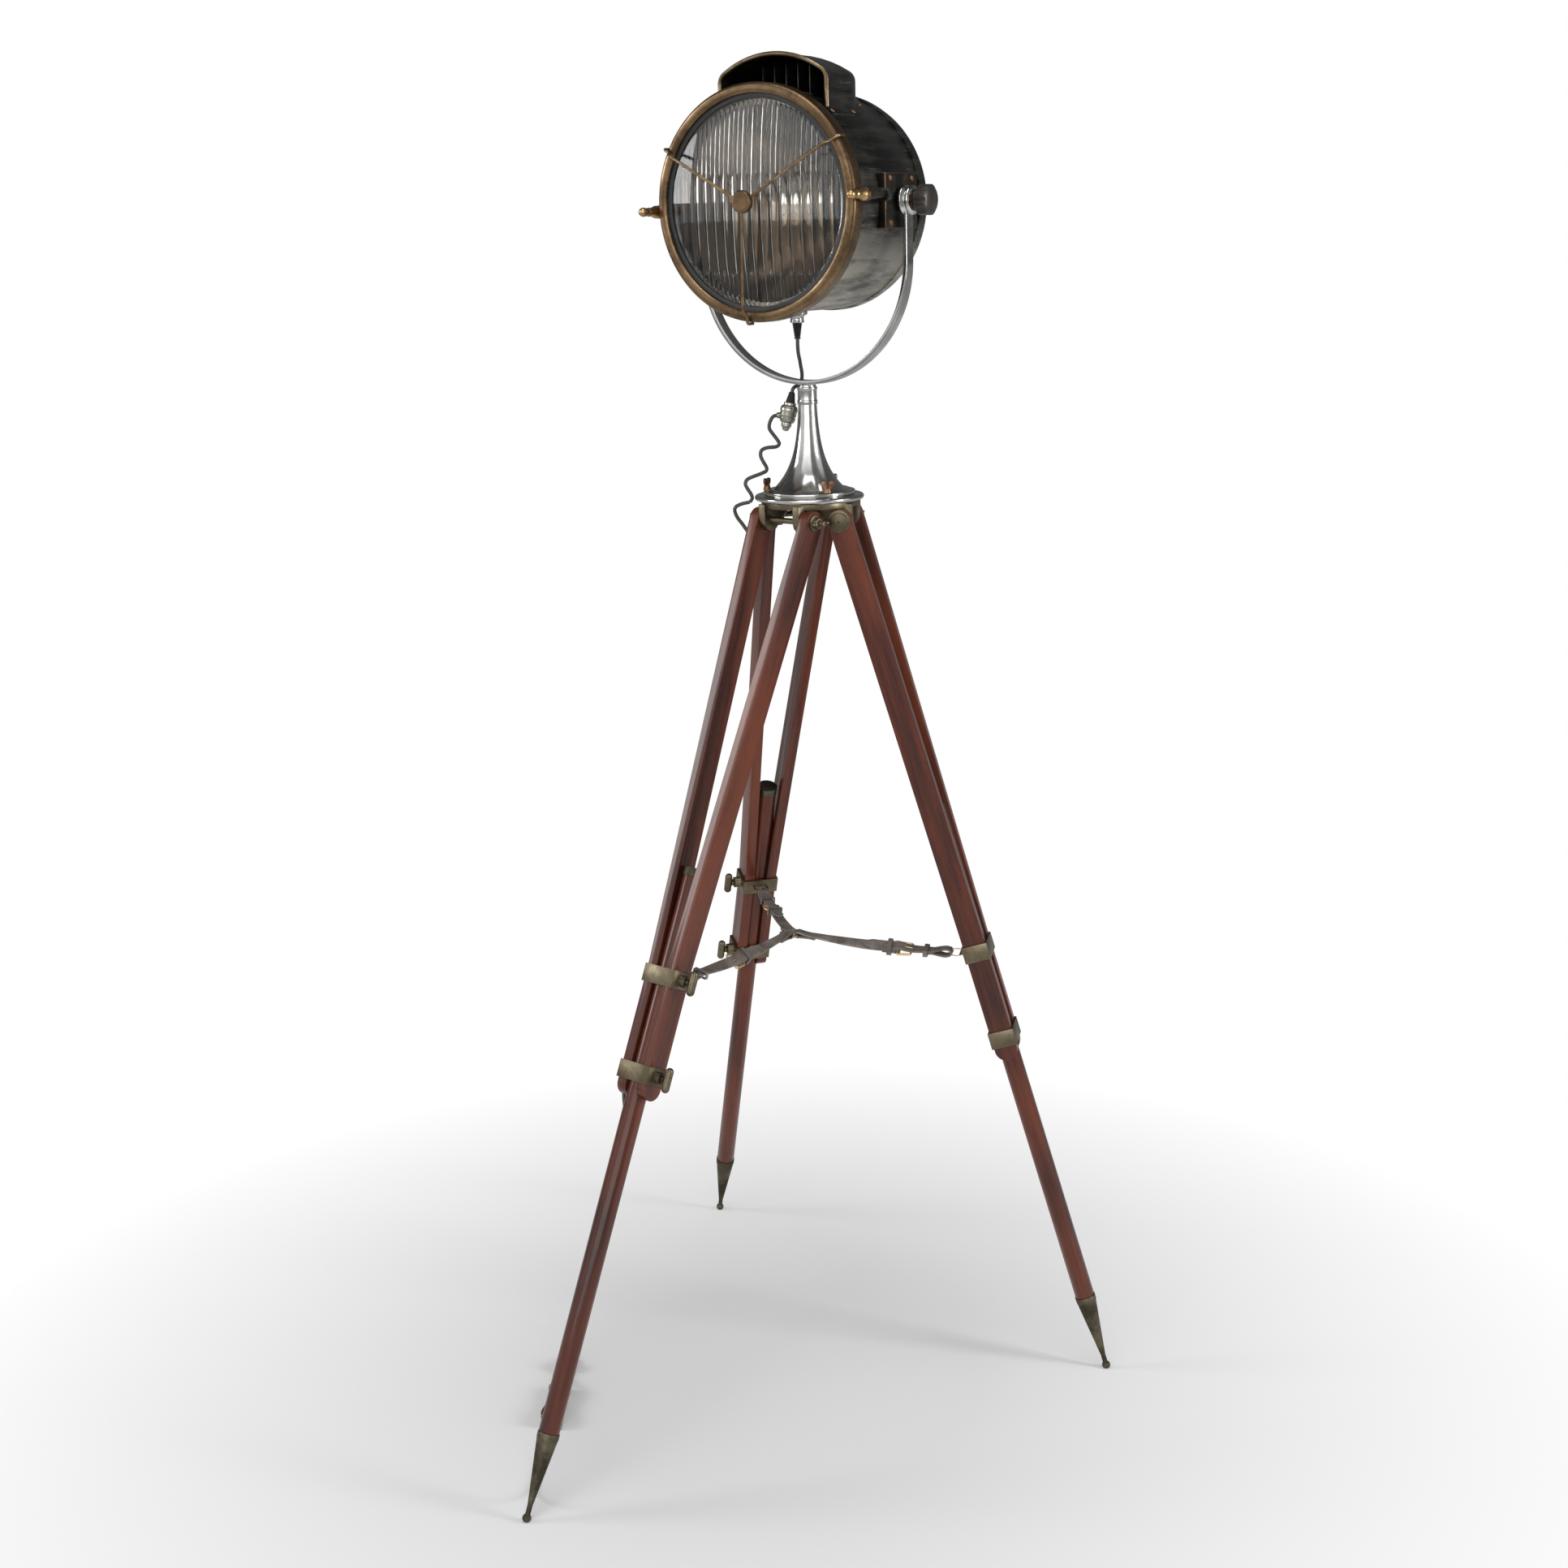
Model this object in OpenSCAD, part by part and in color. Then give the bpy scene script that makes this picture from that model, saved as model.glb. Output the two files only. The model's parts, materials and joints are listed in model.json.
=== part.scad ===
// Tripod spotlight floor lamp. Millimetres, +Z up, floor at Z = 0, the lamp faces -Y.
// The origin is on the floor, at the middle of the box that holds the three feet.

/* [Tripod] */
// Height of the leg hinges above the floor
hinge_height = 1250; // [1200:5:1300]
// Distance of the leg hinges from the axis of the column
hinge_radius = 50; // [48:1:54]
// Direction of the left leg, seen from above
left_azimuth = -99; // [-103:1:-96]
// Direction of the right leg, seen from above
right_azimuth = 21; // [18:1:24]
// Direction of the back leg, seen from above
back_azimuth = 141; // [138:1:144]
// Distance of the left foot from the axis of the column
left_reach = 609; // [580:1:640]
// Distance of the right foot from the axis of the column
right_reach = 416; // [400:1:450]
// Distance of the back foot from the axis of the column
back_reach = 541; // [500:1:580]

/* [Leg rails] */
// Length of a rail below its hinge
rail_length = 802; // [790:1:830]
// Thickness of a rail, across the leg
rail_thickness = 15; // [12:0.5:16]
// Depth of a rail, in the direction of the leg's swing
rail_depth = 32; // [30:1:32]
// Gap between the two rails at the hinge
rail_gap_top = 73; // [70:1:76]
// Gap between the two rails where they run straight
rail_gap = 20; // [18:1:24]
// Distance below the hinge at which the rails start to close in
taper_start = 20; // [18:1:40]
// How far the groove for the pole reaches above the straight part of the rails
groove_reach = 160; // [150:5:170]

/* [Leg bands] */
// Distance of the lower band above the end of the rails
lower_band_up = 33; // [30:1:40]
// Distance between the two bands
band_pitch = 131; // [125:1:140]
// Height of a band along the leg
band_height = 24; // [20:1:28]
// Wall of a band
band_wall = 2.5; // [2:0.5:3]
// Diameter of the boss that carries a clamp screw
boss_d = 16; // [14:1:20]
// Length of that boss outside the band
boss_length = 9.5; // [8:0.5:12]
// Diameter of a clamp screw
clamp_d = 6; // [5:0.5:6.5]
// Length of the clamp screw's cross bar
clamp_bar_length = 34; // [28:1:36]
// Diameter of the clamp screw's cross bar
clamp_bar_d = 11; // [9:1:12]

/* [Poles] */
// Diameter of the wooden pole
pole_d = 28; // [26:1:28]
// Length of the wooden pole
pole_length = 762; // [740:1:770]
// Length of the brass cap on the pole's top
cap_length = 12; // [10:1:16]
// Wall of that cap
cap_wall = 0.8; // [0.6:0.1:1]
// Length of the foot ferrule with its tip
foot_length = 113; // [105:1:125]
// Diameter of the ball at the tip
tip_d = 12; // [10:1:14]
// Height of the flat that the ball stands on, above its lowest point
tip_flat = 0.8; // [0.5:0.1:1]
// Diameter of the ferrule's small end
ferrule_end_d = 7; // [6:0.5:8]

/* [Hinge casting] */
// Radius of the casting's disc
casting_r = 66; // [64:1:70]
// Thickness of that disc
casting_thickness = 8.5; // [7:0.5:8.5]
// Radius of the hub below the disc
hub_r = 20; // [16:1:22]
// Thickness of an ear that carries an axle
ear_thickness = 11; // [8:1:12]
// Radius of an ear's rounded end
ear_r = 15; // [12:1:15]
// Diameter of a leg's axle
axle_d = 8; // [6:1:10]
// Diameter of an axle's head
axle_head_d = 25; // [20:1:26]
// Reach of an axle's wing nut
axle_wing_reach = 16; // [14:1:16]

/* [Plate and column] */
// Radius of the chromed plate
plate_r = 75; // [72:1:76]
// Thickness of the chromed plate
plate_thickness = 7; // [5:1:9]
// Radius of the circle that the three wing screws stand on
wing_circle = 58; // [55:1:60]
// Diameter of a wing screw
wing_screw_d = 6; // [5:0.5:7]
// Reach of a wing screw's wings
wing_reach = 9; // [8:0.5:9.5]
// Radius of the column's flange
flange_r = 63; // [62:1:66]
// Thickness of the column's flange
flange_thickness = 6; // [4:1:8]
// Height of the trumpet above its flange
trumpet_height = 116.5; // [110:0.5:125]
// Radius that the trumpet narrows to
trumpet_neck = 11; // [10:0.5:12]
// How much wider the trumpet is at its foot
trumpet_flare = 40; // [30:1:41]
// Height over which the flare fades
trumpet_fade = 36; // [32:1:44]
// Radius of the collar at the top of the column
collar_r = 13.7; // [13:0.1:15]
// Height of that collar
collar_height = 22.5; // [18:0.5:26]

/* [Yoke] */
// Radius of the middle of the yoke's bar
yoke_r = 159; // [158:0.5:162]
// Thickness of the yoke's bar
yoke_thickness = 6; // [5:0.5:6]
// Width of the yoke's bar
yoke_width = 18; // [16:1:22]
// Height of the tilt axis above the centre of the yoke's arc
yoke_rise = 77; // [74:1:85]
// Diameter of the yoke's spigot
spigot_d = 14; // [12:0.5:16]
// Length of the yoke's spigot
spigot_length = 55; // [45:1:65]
// Radius of the bosses at the ends of the yoke
yoke_boss_r = 19.5; // [16:0.5:22]
// Diameter of the studs that the head tilts on
stud_d = 10; // [8:1:12]
// Radius of the black knobs
knob_r = 20; // [17:0.5:22]
// Length of the black knobs
knob_length = 20.5; // [18:0.5:24]

/* [Lamp head] */
// Outer radius of the drum
drum_r = 141; // [138:0.5:141.5]
// Wall of the drum
drum_wall = 1.7; // [1.2:0.1:2]
// Distance of the drum's front edge from the tilt axis
drum_front = 96; // [90:1:98]
// Distance of the drum's rear edge from the tilt axis
drum_rear = 70; // [66:1:80]
// Depth of the rear cover behind the drum
cover_depth = 34; // [30:1:40]
// Radius of the rear cover's rounded corner
cover_corner = 25; // [16:1:28]
// Outer radius of the bezel
bezel_r = 151; // [150.5:0.5:153]
// Inner radius of the bezel's lip
bezel_lip_r = 137; // [135:0.5:139]
// Depth of the bezel
bezel_depth = 23; // [21:0.5:26]
// How far the bezel is turned in its seat
bezel_turn = 2.7; // [0:0.1:5]
// Radius of the glass
lens_r = 134; // [130:0.5:134.5]
// Bulge of the glass at its middle
lens_bulge = 12; // [6:1:16]
// Thickness of the glass
lens_thickness = 5; // [3:0.5:6]
// Radius of the reflector's mouth
reflector_r = 125; // [115:1:128]
// Radius of the hole at the reflector's bottom
reflector_hole_r = 20; // [18:1:24]
// Radius of the bulb
bulb_r = 30; // [24:1:34]

/* [Guard and nuts] */
// Radius of the guard's hub
guard_hub_r = 14.5; // [12:0.5:18]
// Thickness of the guard's hub
guard_hub_thickness = 8; // [6:1:10]
// Diameter of the guard's spokes
spoke_d = 4; // [3:0.5:4]
// Distance of the bezel's bolts from the middle of the glass
bolt_circle = 159.5; // [159:0.5:162]
// Diameter of the bezel's bolts
bolt_d = 5; // [4:0.5:6]
// Length of a thumb nut
thumb_nut_length = 38; // [34:1:42]
// Distance of the guard's face in front of the bezel
guard_stand = 31; // [28:1:34]

/* [Vent hood] */
// Half of the hood's width
hood_half = 82; // [78:1:84]
// Height of the hood's top above the tilt axis
hood_top = 188; // [184:1:192]
// Radius of the hood's crown
crown_r = 137; // [130:1:150]
// Radius of the hood's upper corners
hood_corner = 15; // [10:1:18]
// Sheet thickness of the hood
hood_wall = 2.2; // [1.6:0.1:2.4]
// Distance of the hood's mouth in front of the tilt axis
mouth_front = 72; // [66:1:76]
// Distance in front of the tilt axis at which the hood's round back starts
round_start = 20; // [14:1:21]
// Width of the flange that the hood is screwed on by
hood_flange = 10; // [8:1:12]

/* [Side brackets] */
// Half of a side bracket's width
bracket_half_width = 42; // [38:1:42]
// Half of a side bracket's height
bracket_half_height = 35; // [30:1:38]
// Distance of a side bracket's outer face from the middle of the drum
bracket_face = 150; // [149:0.5:150.5]

/* [Leads and straps] */
// Diameter of the leads
lead_d = 5; // [4:0.5:5]
// Length of a run of the folded lead
hank_run = 85; // [80:1:100]
// Radius of the folded lead's bends
hank_bend = 12.5; // [12:0.5:15]
// Half of the distance between the runs under the tie
hank_waist = 6; // [5:0.5:8]
// Rise of the folded lead from one loop to the next
hank_step = 5.6; // [5.5:0.1:6.5]
// Loops in the folded lead
hank_loops = 3; // [2:1:4]
// Length of the stretch between the folded lead and the plug
tail_run = 54; // [50:1:60]
// Width of the leather straps
strap_width = 16; // [14:1:18]
// Thickness of the leather straps
strap_thickness = 3; // [2:0.5:3.5]

/* [Hidden] */
$fn = 64;
// Clearances: a running fit on a shaft, a gap between faces that slide, a gap round a part that is only held
fit = 0.05;
slide = 0.3;
loose = 0.3;

// Legs: 0 left, 1 right, 2 back
azimuth = [left_azimuth, right_azimuth, back_azimuth];
reach = [left_reach, right_reach, back_reach];
tip_height = tip_d / 2 - tip_flat;
leg_drop = hinge_height - tip_height;
spread = [for (r = reach) atan((r - hinge_radius) / leg_drop)];
leg_length = [for (r = reach) norm([r - hinge_radius, leg_drop])];
pole_top = [for (l = leg_length) l - foot_length - pole_length];

// The column stands off the origin, which is at the middle of the feet's box
foot_x = [for (i = [0:2]) reach[i] * cos(azimuth[i])];
foot_y = [for (i = [0:2]) reach[i] * sin(azimuth[i])];
column_x = -(max(foot_x) + min(foot_x)) / 2;
column_y = -(max(foot_y) + min(foot_y)) / 2;

rail_end_r = rail_depth / 2;
lower_band = rail_length - lower_band_up;
upper_band = lower_band - band_pitch;
taper_end = upper_band - band_height / 2 - 6;
groove_start = taper_end - groove_reach;
pole_r = pole_d / 2;
cap_r = pole_r + cap_wall;
groove_r = pole_r + loose;
outer_gap_top = rail_gap_top / 2 + rail_thickness;
outer_gap = rail_gap / 2 + rail_thickness;
taper_angle = atan((rail_gap_top - rail_gap) / 2 / (taper_end - taper_start));

axle_r = axle_d / 2;
disc_base = hinge_height + rail_end_r + 0.5;
plate_base = disc_base + casting_thickness;
flange_base = plate_base + plate_thickness;
flange_top = flange_base + flange_thickness;
trumpet_top = flange_top + trumpet_height;
collar_top = trumpet_top + collar_height;
washer_thickness = 3;
yoke_base = collar_top + washer_thickness;
yoke_centre = yoke_base + yoke_r + yoke_thickness / 2;
tilt_height = yoke_centre + yoke_rise;
wing_azimuth = [-153, -33, 87];

stud_r = stud_d / 2;
yoke_boss_inner = bracket_face + 1.5;
yoke_boss_outer = yoke_r + yoke_thickness / 2 + 9;
knob_inner = yoke_boss_outer + 4.5;
stud_end = knob_inner + knob_length - 6;

bezel_back = drum_front + 4;
bezel_front = bezel_back + bezel_depth;
bezel_wall = 3.5;
bezel_lip = 5;
gasket_lip = 1.3;
gasket_front = bezel_front - bezel_lip - 0.2;
lens_rim = gasket_front - gasket_lip - lens_thickness;
guard_front = bezel_front + guard_stand;
lug_thickness = 8;
bezel_lug = bezel_back + 4;
nut_back = bezel_lug + lug_thickness + slide;
nut_cup_r = bolt_circle - bezel_r - 0.5;
nut_tip_r = 6;
lug_front = 62;
cover_lip = 6;
hood_foot = 0.64 * drum_r;
vent_half = 0.67 * hood_half;

// ---------------------------------------------------------------- places

module at_column() {
    translate([column_x, column_y, 0]) children();
}

// Axes of a leg's hinge: X outwards, Y along the axle, Z up
module at_hinge(i) {
    at_column() rotate([0, 0, azimuth[i]]) translate([hinge_radius, 0, hinge_height]) children();
}

// Axes of a leg: the leg runs down -Z from its hinge, X faces outwards
module on_leg(i) {
    at_hinge(i) rotate([0, -spread[i], 0]) children();
}

// Axes of the lamp head: X to the right, Y up, Z forwards, from the middle of the tilt axis
module on_head() {
    at_column() translate([0, 0, tilt_height]) rotate([90, 0, 0]) children();
}

// Turns a shape that is drawn along +Z to run along +Y or -Y, from a distance along that axis
module along_y(from) {
    translate([0, from, 0]) rotate([-90, 0, 0]) children();
}

module along_minus_y(from) {
    translate([0, -from, 0]) rotate([90, 0, 0]) children();
}

// Turns a shape that is drawn along +Z to run outwards along X, on either side
module along_x(side, from) {
    translate([side * from, 0, 0]) rotate([0, side * 90, 0]) children();
}

// Turns a shape that is drawn along +Z to run from one point towards another
module towards(a, b) {
    d = b - a;
    translate(a) rotate([0, acos(d.z / norm(d)), atan2(d.y, d.x)]) children();
}

module rod(a, b, r) {
    towards(a, b) cylinder(r = r, h = norm(b - a));
}

module ring(outer, inner, height) {
    difference() {
        cylinder(r = outer, h = height);
        translate([0, 0, -1]) cylinder(r = inner, h = height + 2);
    }
}

// A dome of a given height on a disc
module dome(r, height) {
    ball = (r * r + height * height) / (2 * height);
    intersection() {
        translate([0, 0, height - ball]) sphere(ball);
        cylinder(r = r, h = height);
    }
}

// Two upright wings with round ends
module wings(reach, height, thickness) {
    lobe = height * 0.32;
    for (side = [0, 180]) rotate([0, 0, side]) rotate([90, 0, 0])
        linear_extrude(thickness, center = true) union() {
            polygon([[1, 0.5], [reach * 0.45, 0.5], [reach - lobe * 0.3, height - lobe * 1.9],
                     [reach - lobe * 1.7, height - lobe * 0.5], [1, height * 0.45]]);
            translate([reach - lobe, height - lobe]) circle(lobe);
        }
}

// ---------------------------------------------------------------- tripod head

module wing_screw_holes(from, height) {
    for (a = wing_azimuth) rotate([0, 0, a]) translate([wing_circle, 0, from])
        cylinder(r = wing_screw_d / 2 + fit, h = height);
}

module hinge_casting() {
    color("#6b6046") at_column() difference() {
        union() {
            translate([0, 0, disc_base]) cylinder(r = casting_r, h = casting_thickness);
            translate([0, 0, hinge_height - 10]) cylinder(r = hub_r, h = disc_base - hinge_height + 11);
            for (a = azimuth, side = [-1, 1]) rotate([0, 0, a]) hinge_ear(side);
        }
        for (a = azimuth) rotate([0, 0, a]) translate([hinge_radius, 0, hinge_height])
            along_y(-rail_gap_top) cylinder(r = axle_r + fit, h = 2 * rail_gap_top);
        wing_screw_holes(disc_base - 1, casting_thickness + 2);
    }
}

module hinge_ear(side) {
    inner = rail_gap_top / 2 - 0.5 - ear_thickness;
    foot = 12;
    top = disc_base - hinge_height + casting_thickness - 3;
    translate([0, side * (inner + ear_thickness / 2), hinge_height]) rotate([90, 0, 0])
        linear_extrude(ear_thickness, center = true) union() {
            translate([hinge_radius, 0]) circle(ear_r);
            translate([hinge_radius - ear_r, 0]) square([2 * ear_r, top]);
            polygon([[foot, top], [foot, top - 9], [hinge_radius - ear_r + 1, -2], [hinge_radius, top]]);
        }
}

module leg_axles() {
    head_at = outer_gap_top + slide;
    color("#7a6a48") for (i = [0:2]) at_hinge(i) union() {
        along_y(-head_at - 2) cylinder(r = axle_r, h = head_at + outer_gap_top + 20);
        along_minus_y(head_at) cylinder(r = axle_head_d / 2 + 2.5, h = 1.5);
        along_minus_y(head_at + 1.5) cylinder(r = axle_head_d / 2, h = 2.5);
        along_minus_y(head_at + 4) dome(axle_head_d / 2, 2.5);
    }
}

module axle_wing_nut(i) {
    color("#7a6a48") at_hinge(i) along_y(outer_gap_top + slide) difference() {
        union() {
            cylinder(r = 11, h = 1.5);
            cylinder(r = 7.5, h = 9);
            translate([0, 0, 1.5]) wings(axle_wing_reach, 13, 3);
        }
        translate([0, 0, -1]) cylinder(r = axle_r + fit, h = 30);
    }
}

module tripod_plate() {
    color("#c9cccd") at_column() difference() {
        rotate_extrude() union() {
            translate([0, plate_base]) square([plate_r - plate_thickness / 2, plate_thickness]);
            translate([plate_r - plate_thickness / 2, plate_base + plate_thickness / 2])
                circle(plate_thickness / 2);
        }
        wing_screw_holes(plate_base - 1, plate_thickness + 2);
    }
}

module plate_wing_screw(k) {
    tip = disc_base + 1;
    seat = flange_top + slide;
    color("#9c6b3c") at_column() rotate([0, 0, wing_azimuth[k]]) translate([wing_circle, 0, 0]) union() {
        translate([0, 0, tip]) cylinder(r = wing_screw_d / 2, h = seat - tip + 1);
        translate([0, 0, seat]) cylinder(r1 = 5.5, r2 = 4, h = 6);
        translate([0, 0, seat + 4]) rotate([0, 0, 70]) wings(wing_reach, 12, 3);
    }
}

// ---------------------------------------------------------------- column and yoke

trumpet_steps = 14;

function trumpet_r(h) = trumpet_neck + trumpet_flare * exp(-h / trumpet_fade);

module column() {
    color("#d4d7d8") at_column() difference() {
        union() {
            rotate_extrude() polygon(concat(
                [[0, flange_base], [flange_r, flange_base], [flange_r, flange_top - 1.5],
                 [flange_r - 1.5, flange_top]],
                [for (k = [0:trumpet_steps])
                    let (h = trumpet_height * pow(k / trumpet_steps, 1.4)) [trumpet_r(h), flange_top + h]],
                [[0, trumpet_top]]));
            translate([0, 0, trumpet_top - 1]) cylinder(r = collar_r, h = collar_height + 1);
            translate([0, 0, collar_top]) cylinder(r = collar_r - 1.7, h = washer_thickness - 0.2);
        }
        translate([0, 0, yoke_base - spigot_length - 2]) cylinder(r = spigot_d / 2 + fit, h = spigot_length + 10);
        wing_screw_holes(flange_base - 1, flange_thickness + 2);
    }
}

module yoke() {
    outer = yoke_r + yoke_thickness / 2;
    color("#d4d7d8") at_column() difference() {
        union() {
            translate([0, 0, yoke_centre]) rotate([90, 0, 0]) intersection() {
                translate([0, 0, -yoke_width / 2]) ring(outer, outer - yoke_thickness, yoke_width);
                translate([-2 * outer, -2 * outer, -yoke_width]) cube([4 * outer, 2 * outer, 2 * yoke_width]);
            }
            for (side = [-1, 1]) translate([side * yoke_r, 0, yoke_centre + yoke_rise / 2])
                cube([yoke_thickness, yoke_width, yoke_rise + 1], center = true);
            for (side = [-1, 1]) translate([0, 0, tilt_height]) along_x(side, yoke_boss_inner)
                cylinder(r = yoke_boss_r, h = yoke_boss_outer - yoke_boss_inner);
            translate([0, 0, yoke_base - spigot_length]) cylinder(r = spigot_d / 2, h = spigot_length + 2);
        }
        for (side = [-1, 1]) translate([0, 0, tilt_height]) along_x(side, yoke_boss_inner - 1)
            cylinder(r = stud_r + fit, h = yoke_boss_outer - yoke_boss_inner + 2);
    }
}

module yoke_knob(side) {
    flutes = 8;
    color("#2b2725") at_column() translate([0, 0, tilt_height]) along_x(side, knob_inner) difference() {
        union() {
            cylinder(r1 = knob_r - 4, r2 = knob_r, h = 4);
            translate([0, 0, 4]) cylinder(r = knob_r, h = knob_length - 7);
            translate([0, 0, knob_length - 3]) cylinder(r1 = knob_r, r2 = knob_r - 5, h = 3);
        }
        for (k = [1:flutes]) rotate([0, 0, k * 360 / flutes]) translate([knob_r + 2.5, 0, -1])
            cylinder(r = 5, h = knob_length + 2);
        translate([0, 0, -1]) cylinder(r = stud_r + fit, h = stud_end - knob_inner + 1.5);
    }
}

// ---------------------------------------------------------------- lamp head

// Lugs for the two bolts that hold the bezel, on either side of the head
module bolt_lugs(from, height, inner) {
    half = 8.5;
    for (side = [0, 180]) rotate([0, 0, bezel_turn + side]) translate([0, 0, from]) difference() {
        union() {
            translate([inner, -half, 0]) cube([bolt_circle - inner, 2 * half, height]);
            translate([bolt_circle, 0, 0]) cylinder(r = half, h = height);
        }
        translate([bolt_circle, 0, -1]) cylinder(r = bolt_d / 2 + fit, h = height + 2);
    }
}

module drum() {
    color("#23272a") on_head() difference() {
        union() {
            translate([0, 0, -drum_rear]) cylinder(r = drum_r, h = drum_rear + drum_front);
            bolt_lugs(lug_front - lug_thickness, lug_thickness, drum_r - 1);
        }
        translate([0, 0, -drum_rear - 1]) cylinder(r = drum_r - drum_wall, h = drum_rear + drum_front + 2);
        translate([-vent_half, 0, -15]) cube([2 * vent_half, 2 * drum_r, 50]);
        translate([0, 0, gland_front]) rotate([90, 0, 0]) cylinder(r = gland_r - 4, h = 2 * drum_r);
    }
}

module cover_outline(inset) {
    corner_at = -drum_rear - cover_depth + cover_corner;
    translate([0, -drum_rear - cover_depth + inset]) square([drum_r - cover_corner, cover_depth]);
    translate([0, corner_at]) square([drum_r - inset, -drum_rear - corner_at]);
    translate([drum_r - cover_corner, corner_at]) circle(cover_corner - inset);
}

module rear_cover() {
    color("#23272a") on_head() rotate_extrude() union() {
        difference() {
            intersection() {
                cover_outline(0);
                translate([0, -2 * drum_r]) square([2 * drum_r, 2 * drum_r - drum_rear]);
            }
            cover_outline(drum_wall);
            translate([0, -drum_rear - drum_wall - 2]) square([drum_r - drum_wall, drum_wall + 3]);
        }
        translate([drum_r - 0.01, -drum_rear - cover_lip]) square([drum_wall, cover_lip]);
        translate([drum_r + fit, -drum_rear - 1]) square([drum_wall - fit, cover_lip + 1]);
    }
}

module front_ring() {
    color("#3a3830") on_head() rotate_extrude() union() {
        translate([drum_r + fit, drum_front - 3]) square([bezel_r - 5 - drum_r - fit, 7]);
        translate([lens_r + 2, drum_front]) square([bezel_r - 5 - lens_r - 2, 4]);
    }
}

module bezel() {
    round = 3;
    color("#8c6f3f") on_head() union() {
        rotate_extrude() difference() {
            union() {
                translate([bezel_lip_r, bezel_back]) square([bezel_r - bezel_lip_r, bezel_depth - round]);
                translate([bezel_lip_r + round, bezel_back])
                    square([bezel_r - bezel_lip_r - 2 * round, bezel_depth]);
                translate([bezel_r - round, bezel_front - round]) circle(round);
                translate([bezel_lip_r + round, bezel_front - round]) circle(round);
            }
            translate([0, bezel_back - 1]) square([bezel_r - bezel_wall, bezel_depth - bezel_lip + 1]);
        }
        bolt_lugs(bezel_lug, lug_thickness, bezel_r - 1);
    }
}

// The gasket holds the glass between its shoulder and its lip
module gasket() {
    color("#1b1b1a") on_head() rotate_extrude() difference() {
        translate([lens_r - 3, bezel_back])
            square([bezel_r - bezel_wall - slide - lens_r + 3, gasket_front - bezel_back]);
        translate([0, lens_rim]) square([lens_r + slide, lens_thickness]);
    }
}

lens_steps = 10;

module lens() {
    flat_r = lens_r - 4;
    ball = (flat_r * flat_r + lens_bulge * lens_bulge) / (2 * lens_bulge);
    bulge = [for (k = [0:lens_steps]) let (r = flat_r * k / lens_steps)
        [r, lens_rim + lens_bulge - ball + sqrt(ball * ball - r * r)]];
    color("#b9c6bf", 0.5) on_head() rotate_extrude() polygon(concat(
        [for (p = bulge) p + [0, lens_thickness]],
        [[lens_r, lens_rim + lens_thickness], [lens_r, lens_rim]],
        [for (k = [lens_steps:-1:0]) bulge[k]]));
}

// The guard's hub lies a little above the middle of the glass
hub_up = 2;
spoke_angles = [152, 31.5, -94.5];

function around(angle, r, front) = [r * cos(angle), r * sin(angle), front];

module spoke_guard() {
    // The ends of the spokes are hooked over the bezel
    hook = bezel_r + spoke_d / 2 + 0.2;
    color("#9a7c45") on_head() union() {
        translate([0, hub_up, guard_front - guard_hub_thickness])
            cylinder(r = guard_hub_r, h = guard_hub_thickness - 1.5);
        translate([0, hub_up, guard_front - 1.5]) cylinder(r1 = guard_hub_r, r2 = guard_hub_r - 1.5, h = 1.5);
        for (a = spoke_angles) tube([
            around(a, 4, guard_front - 4),
            around(a, lens_r - 4, guard_front - 15),
            around(a, lens_r + 2, guard_front - 17),
            around(a, bezel_r - 9, bezel_front + 5),
            around(a, bezel_r - 2, bezel_front + 3.6),
            around(a, hook - 0.5, bezel_front + 1),
            around(a, hook, bezel_front - 3),
            around(a, hook, bezel_front - 11)
        ], spoke_d, 10);
    }
}

reflector_bottom = -40;
reflector_steps = 12;

// The reflector is a paraboloid from its hole to its mouth
function reflector_at(front) = sqrt(pow(reflector_hole_r, 2) + (front - reflector_bottom)
    * (pow(reflector_r, 2) - pow(reflector_hole_r, 2)) / (drum_front - reflector_bottom));

module reflector() {
    sheet = 1.3;
    color("#dfe1e0") on_head() rotate_extrude() polygon(concat(
        [for (k = [0:reflector_steps])
            let (f = reflector_bottom + (drum_front - reflector_bottom) * k / reflector_steps)
            [reflector_at(f), f]],
        [[drum_r - drum_wall - 0.2, drum_front], [drum_r - drum_wall - 0.2, drum_front - sheet]],
        [for (k = [reflector_steps:-1:0])
            let (f = reflector_bottom + (drum_front - sheet - reflector_bottom) * k / reflector_steps)
            [reflector_at(f) + sheet, f]]));
}

bulb_front = -5;
holder_mouth = -46;

module bulb() {
    base_r = 13.3;
    color("#f4efe0") on_head() union() {
        translate([0, 0, bulb_front]) sphere(bulb_r);
        translate([0, 0, holder_mouth + 2]) cylinder(r1 = base_r, r2 = bulb_r * 0.86, h = bulb_front - 15 - holder_mouth);
        translate([0, 0, holder_mouth - 20]) cylinder(r = base_r, h = 23);
    }
}

module lampholder() {
    back = -drum_rear - cover_depth + drum_wall;
    color("#ece8df") on_head() difference() {
        union() {
            translate([0, 0, back]) cylinder(r = 28, h = 3.5);
            translate([0, 0, back]) cylinder(r = 18.5, h = holder_mouth - back);
        }
        translate([0, 0, holder_mouth - 21]) cylinder(r = 13.5, h = 22);
    }
}

// ---------------------------------------------------------------- vent hood

crown_centre = hood_top - crown_r;
corner_x = hood_half - hood_corner;
corner_y = crown_centre + sqrt(pow(crown_r - hood_corner, 2) - corner_x * corner_x);
corner_angle = atan2(corner_y - crown_centre, corner_x);

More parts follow.
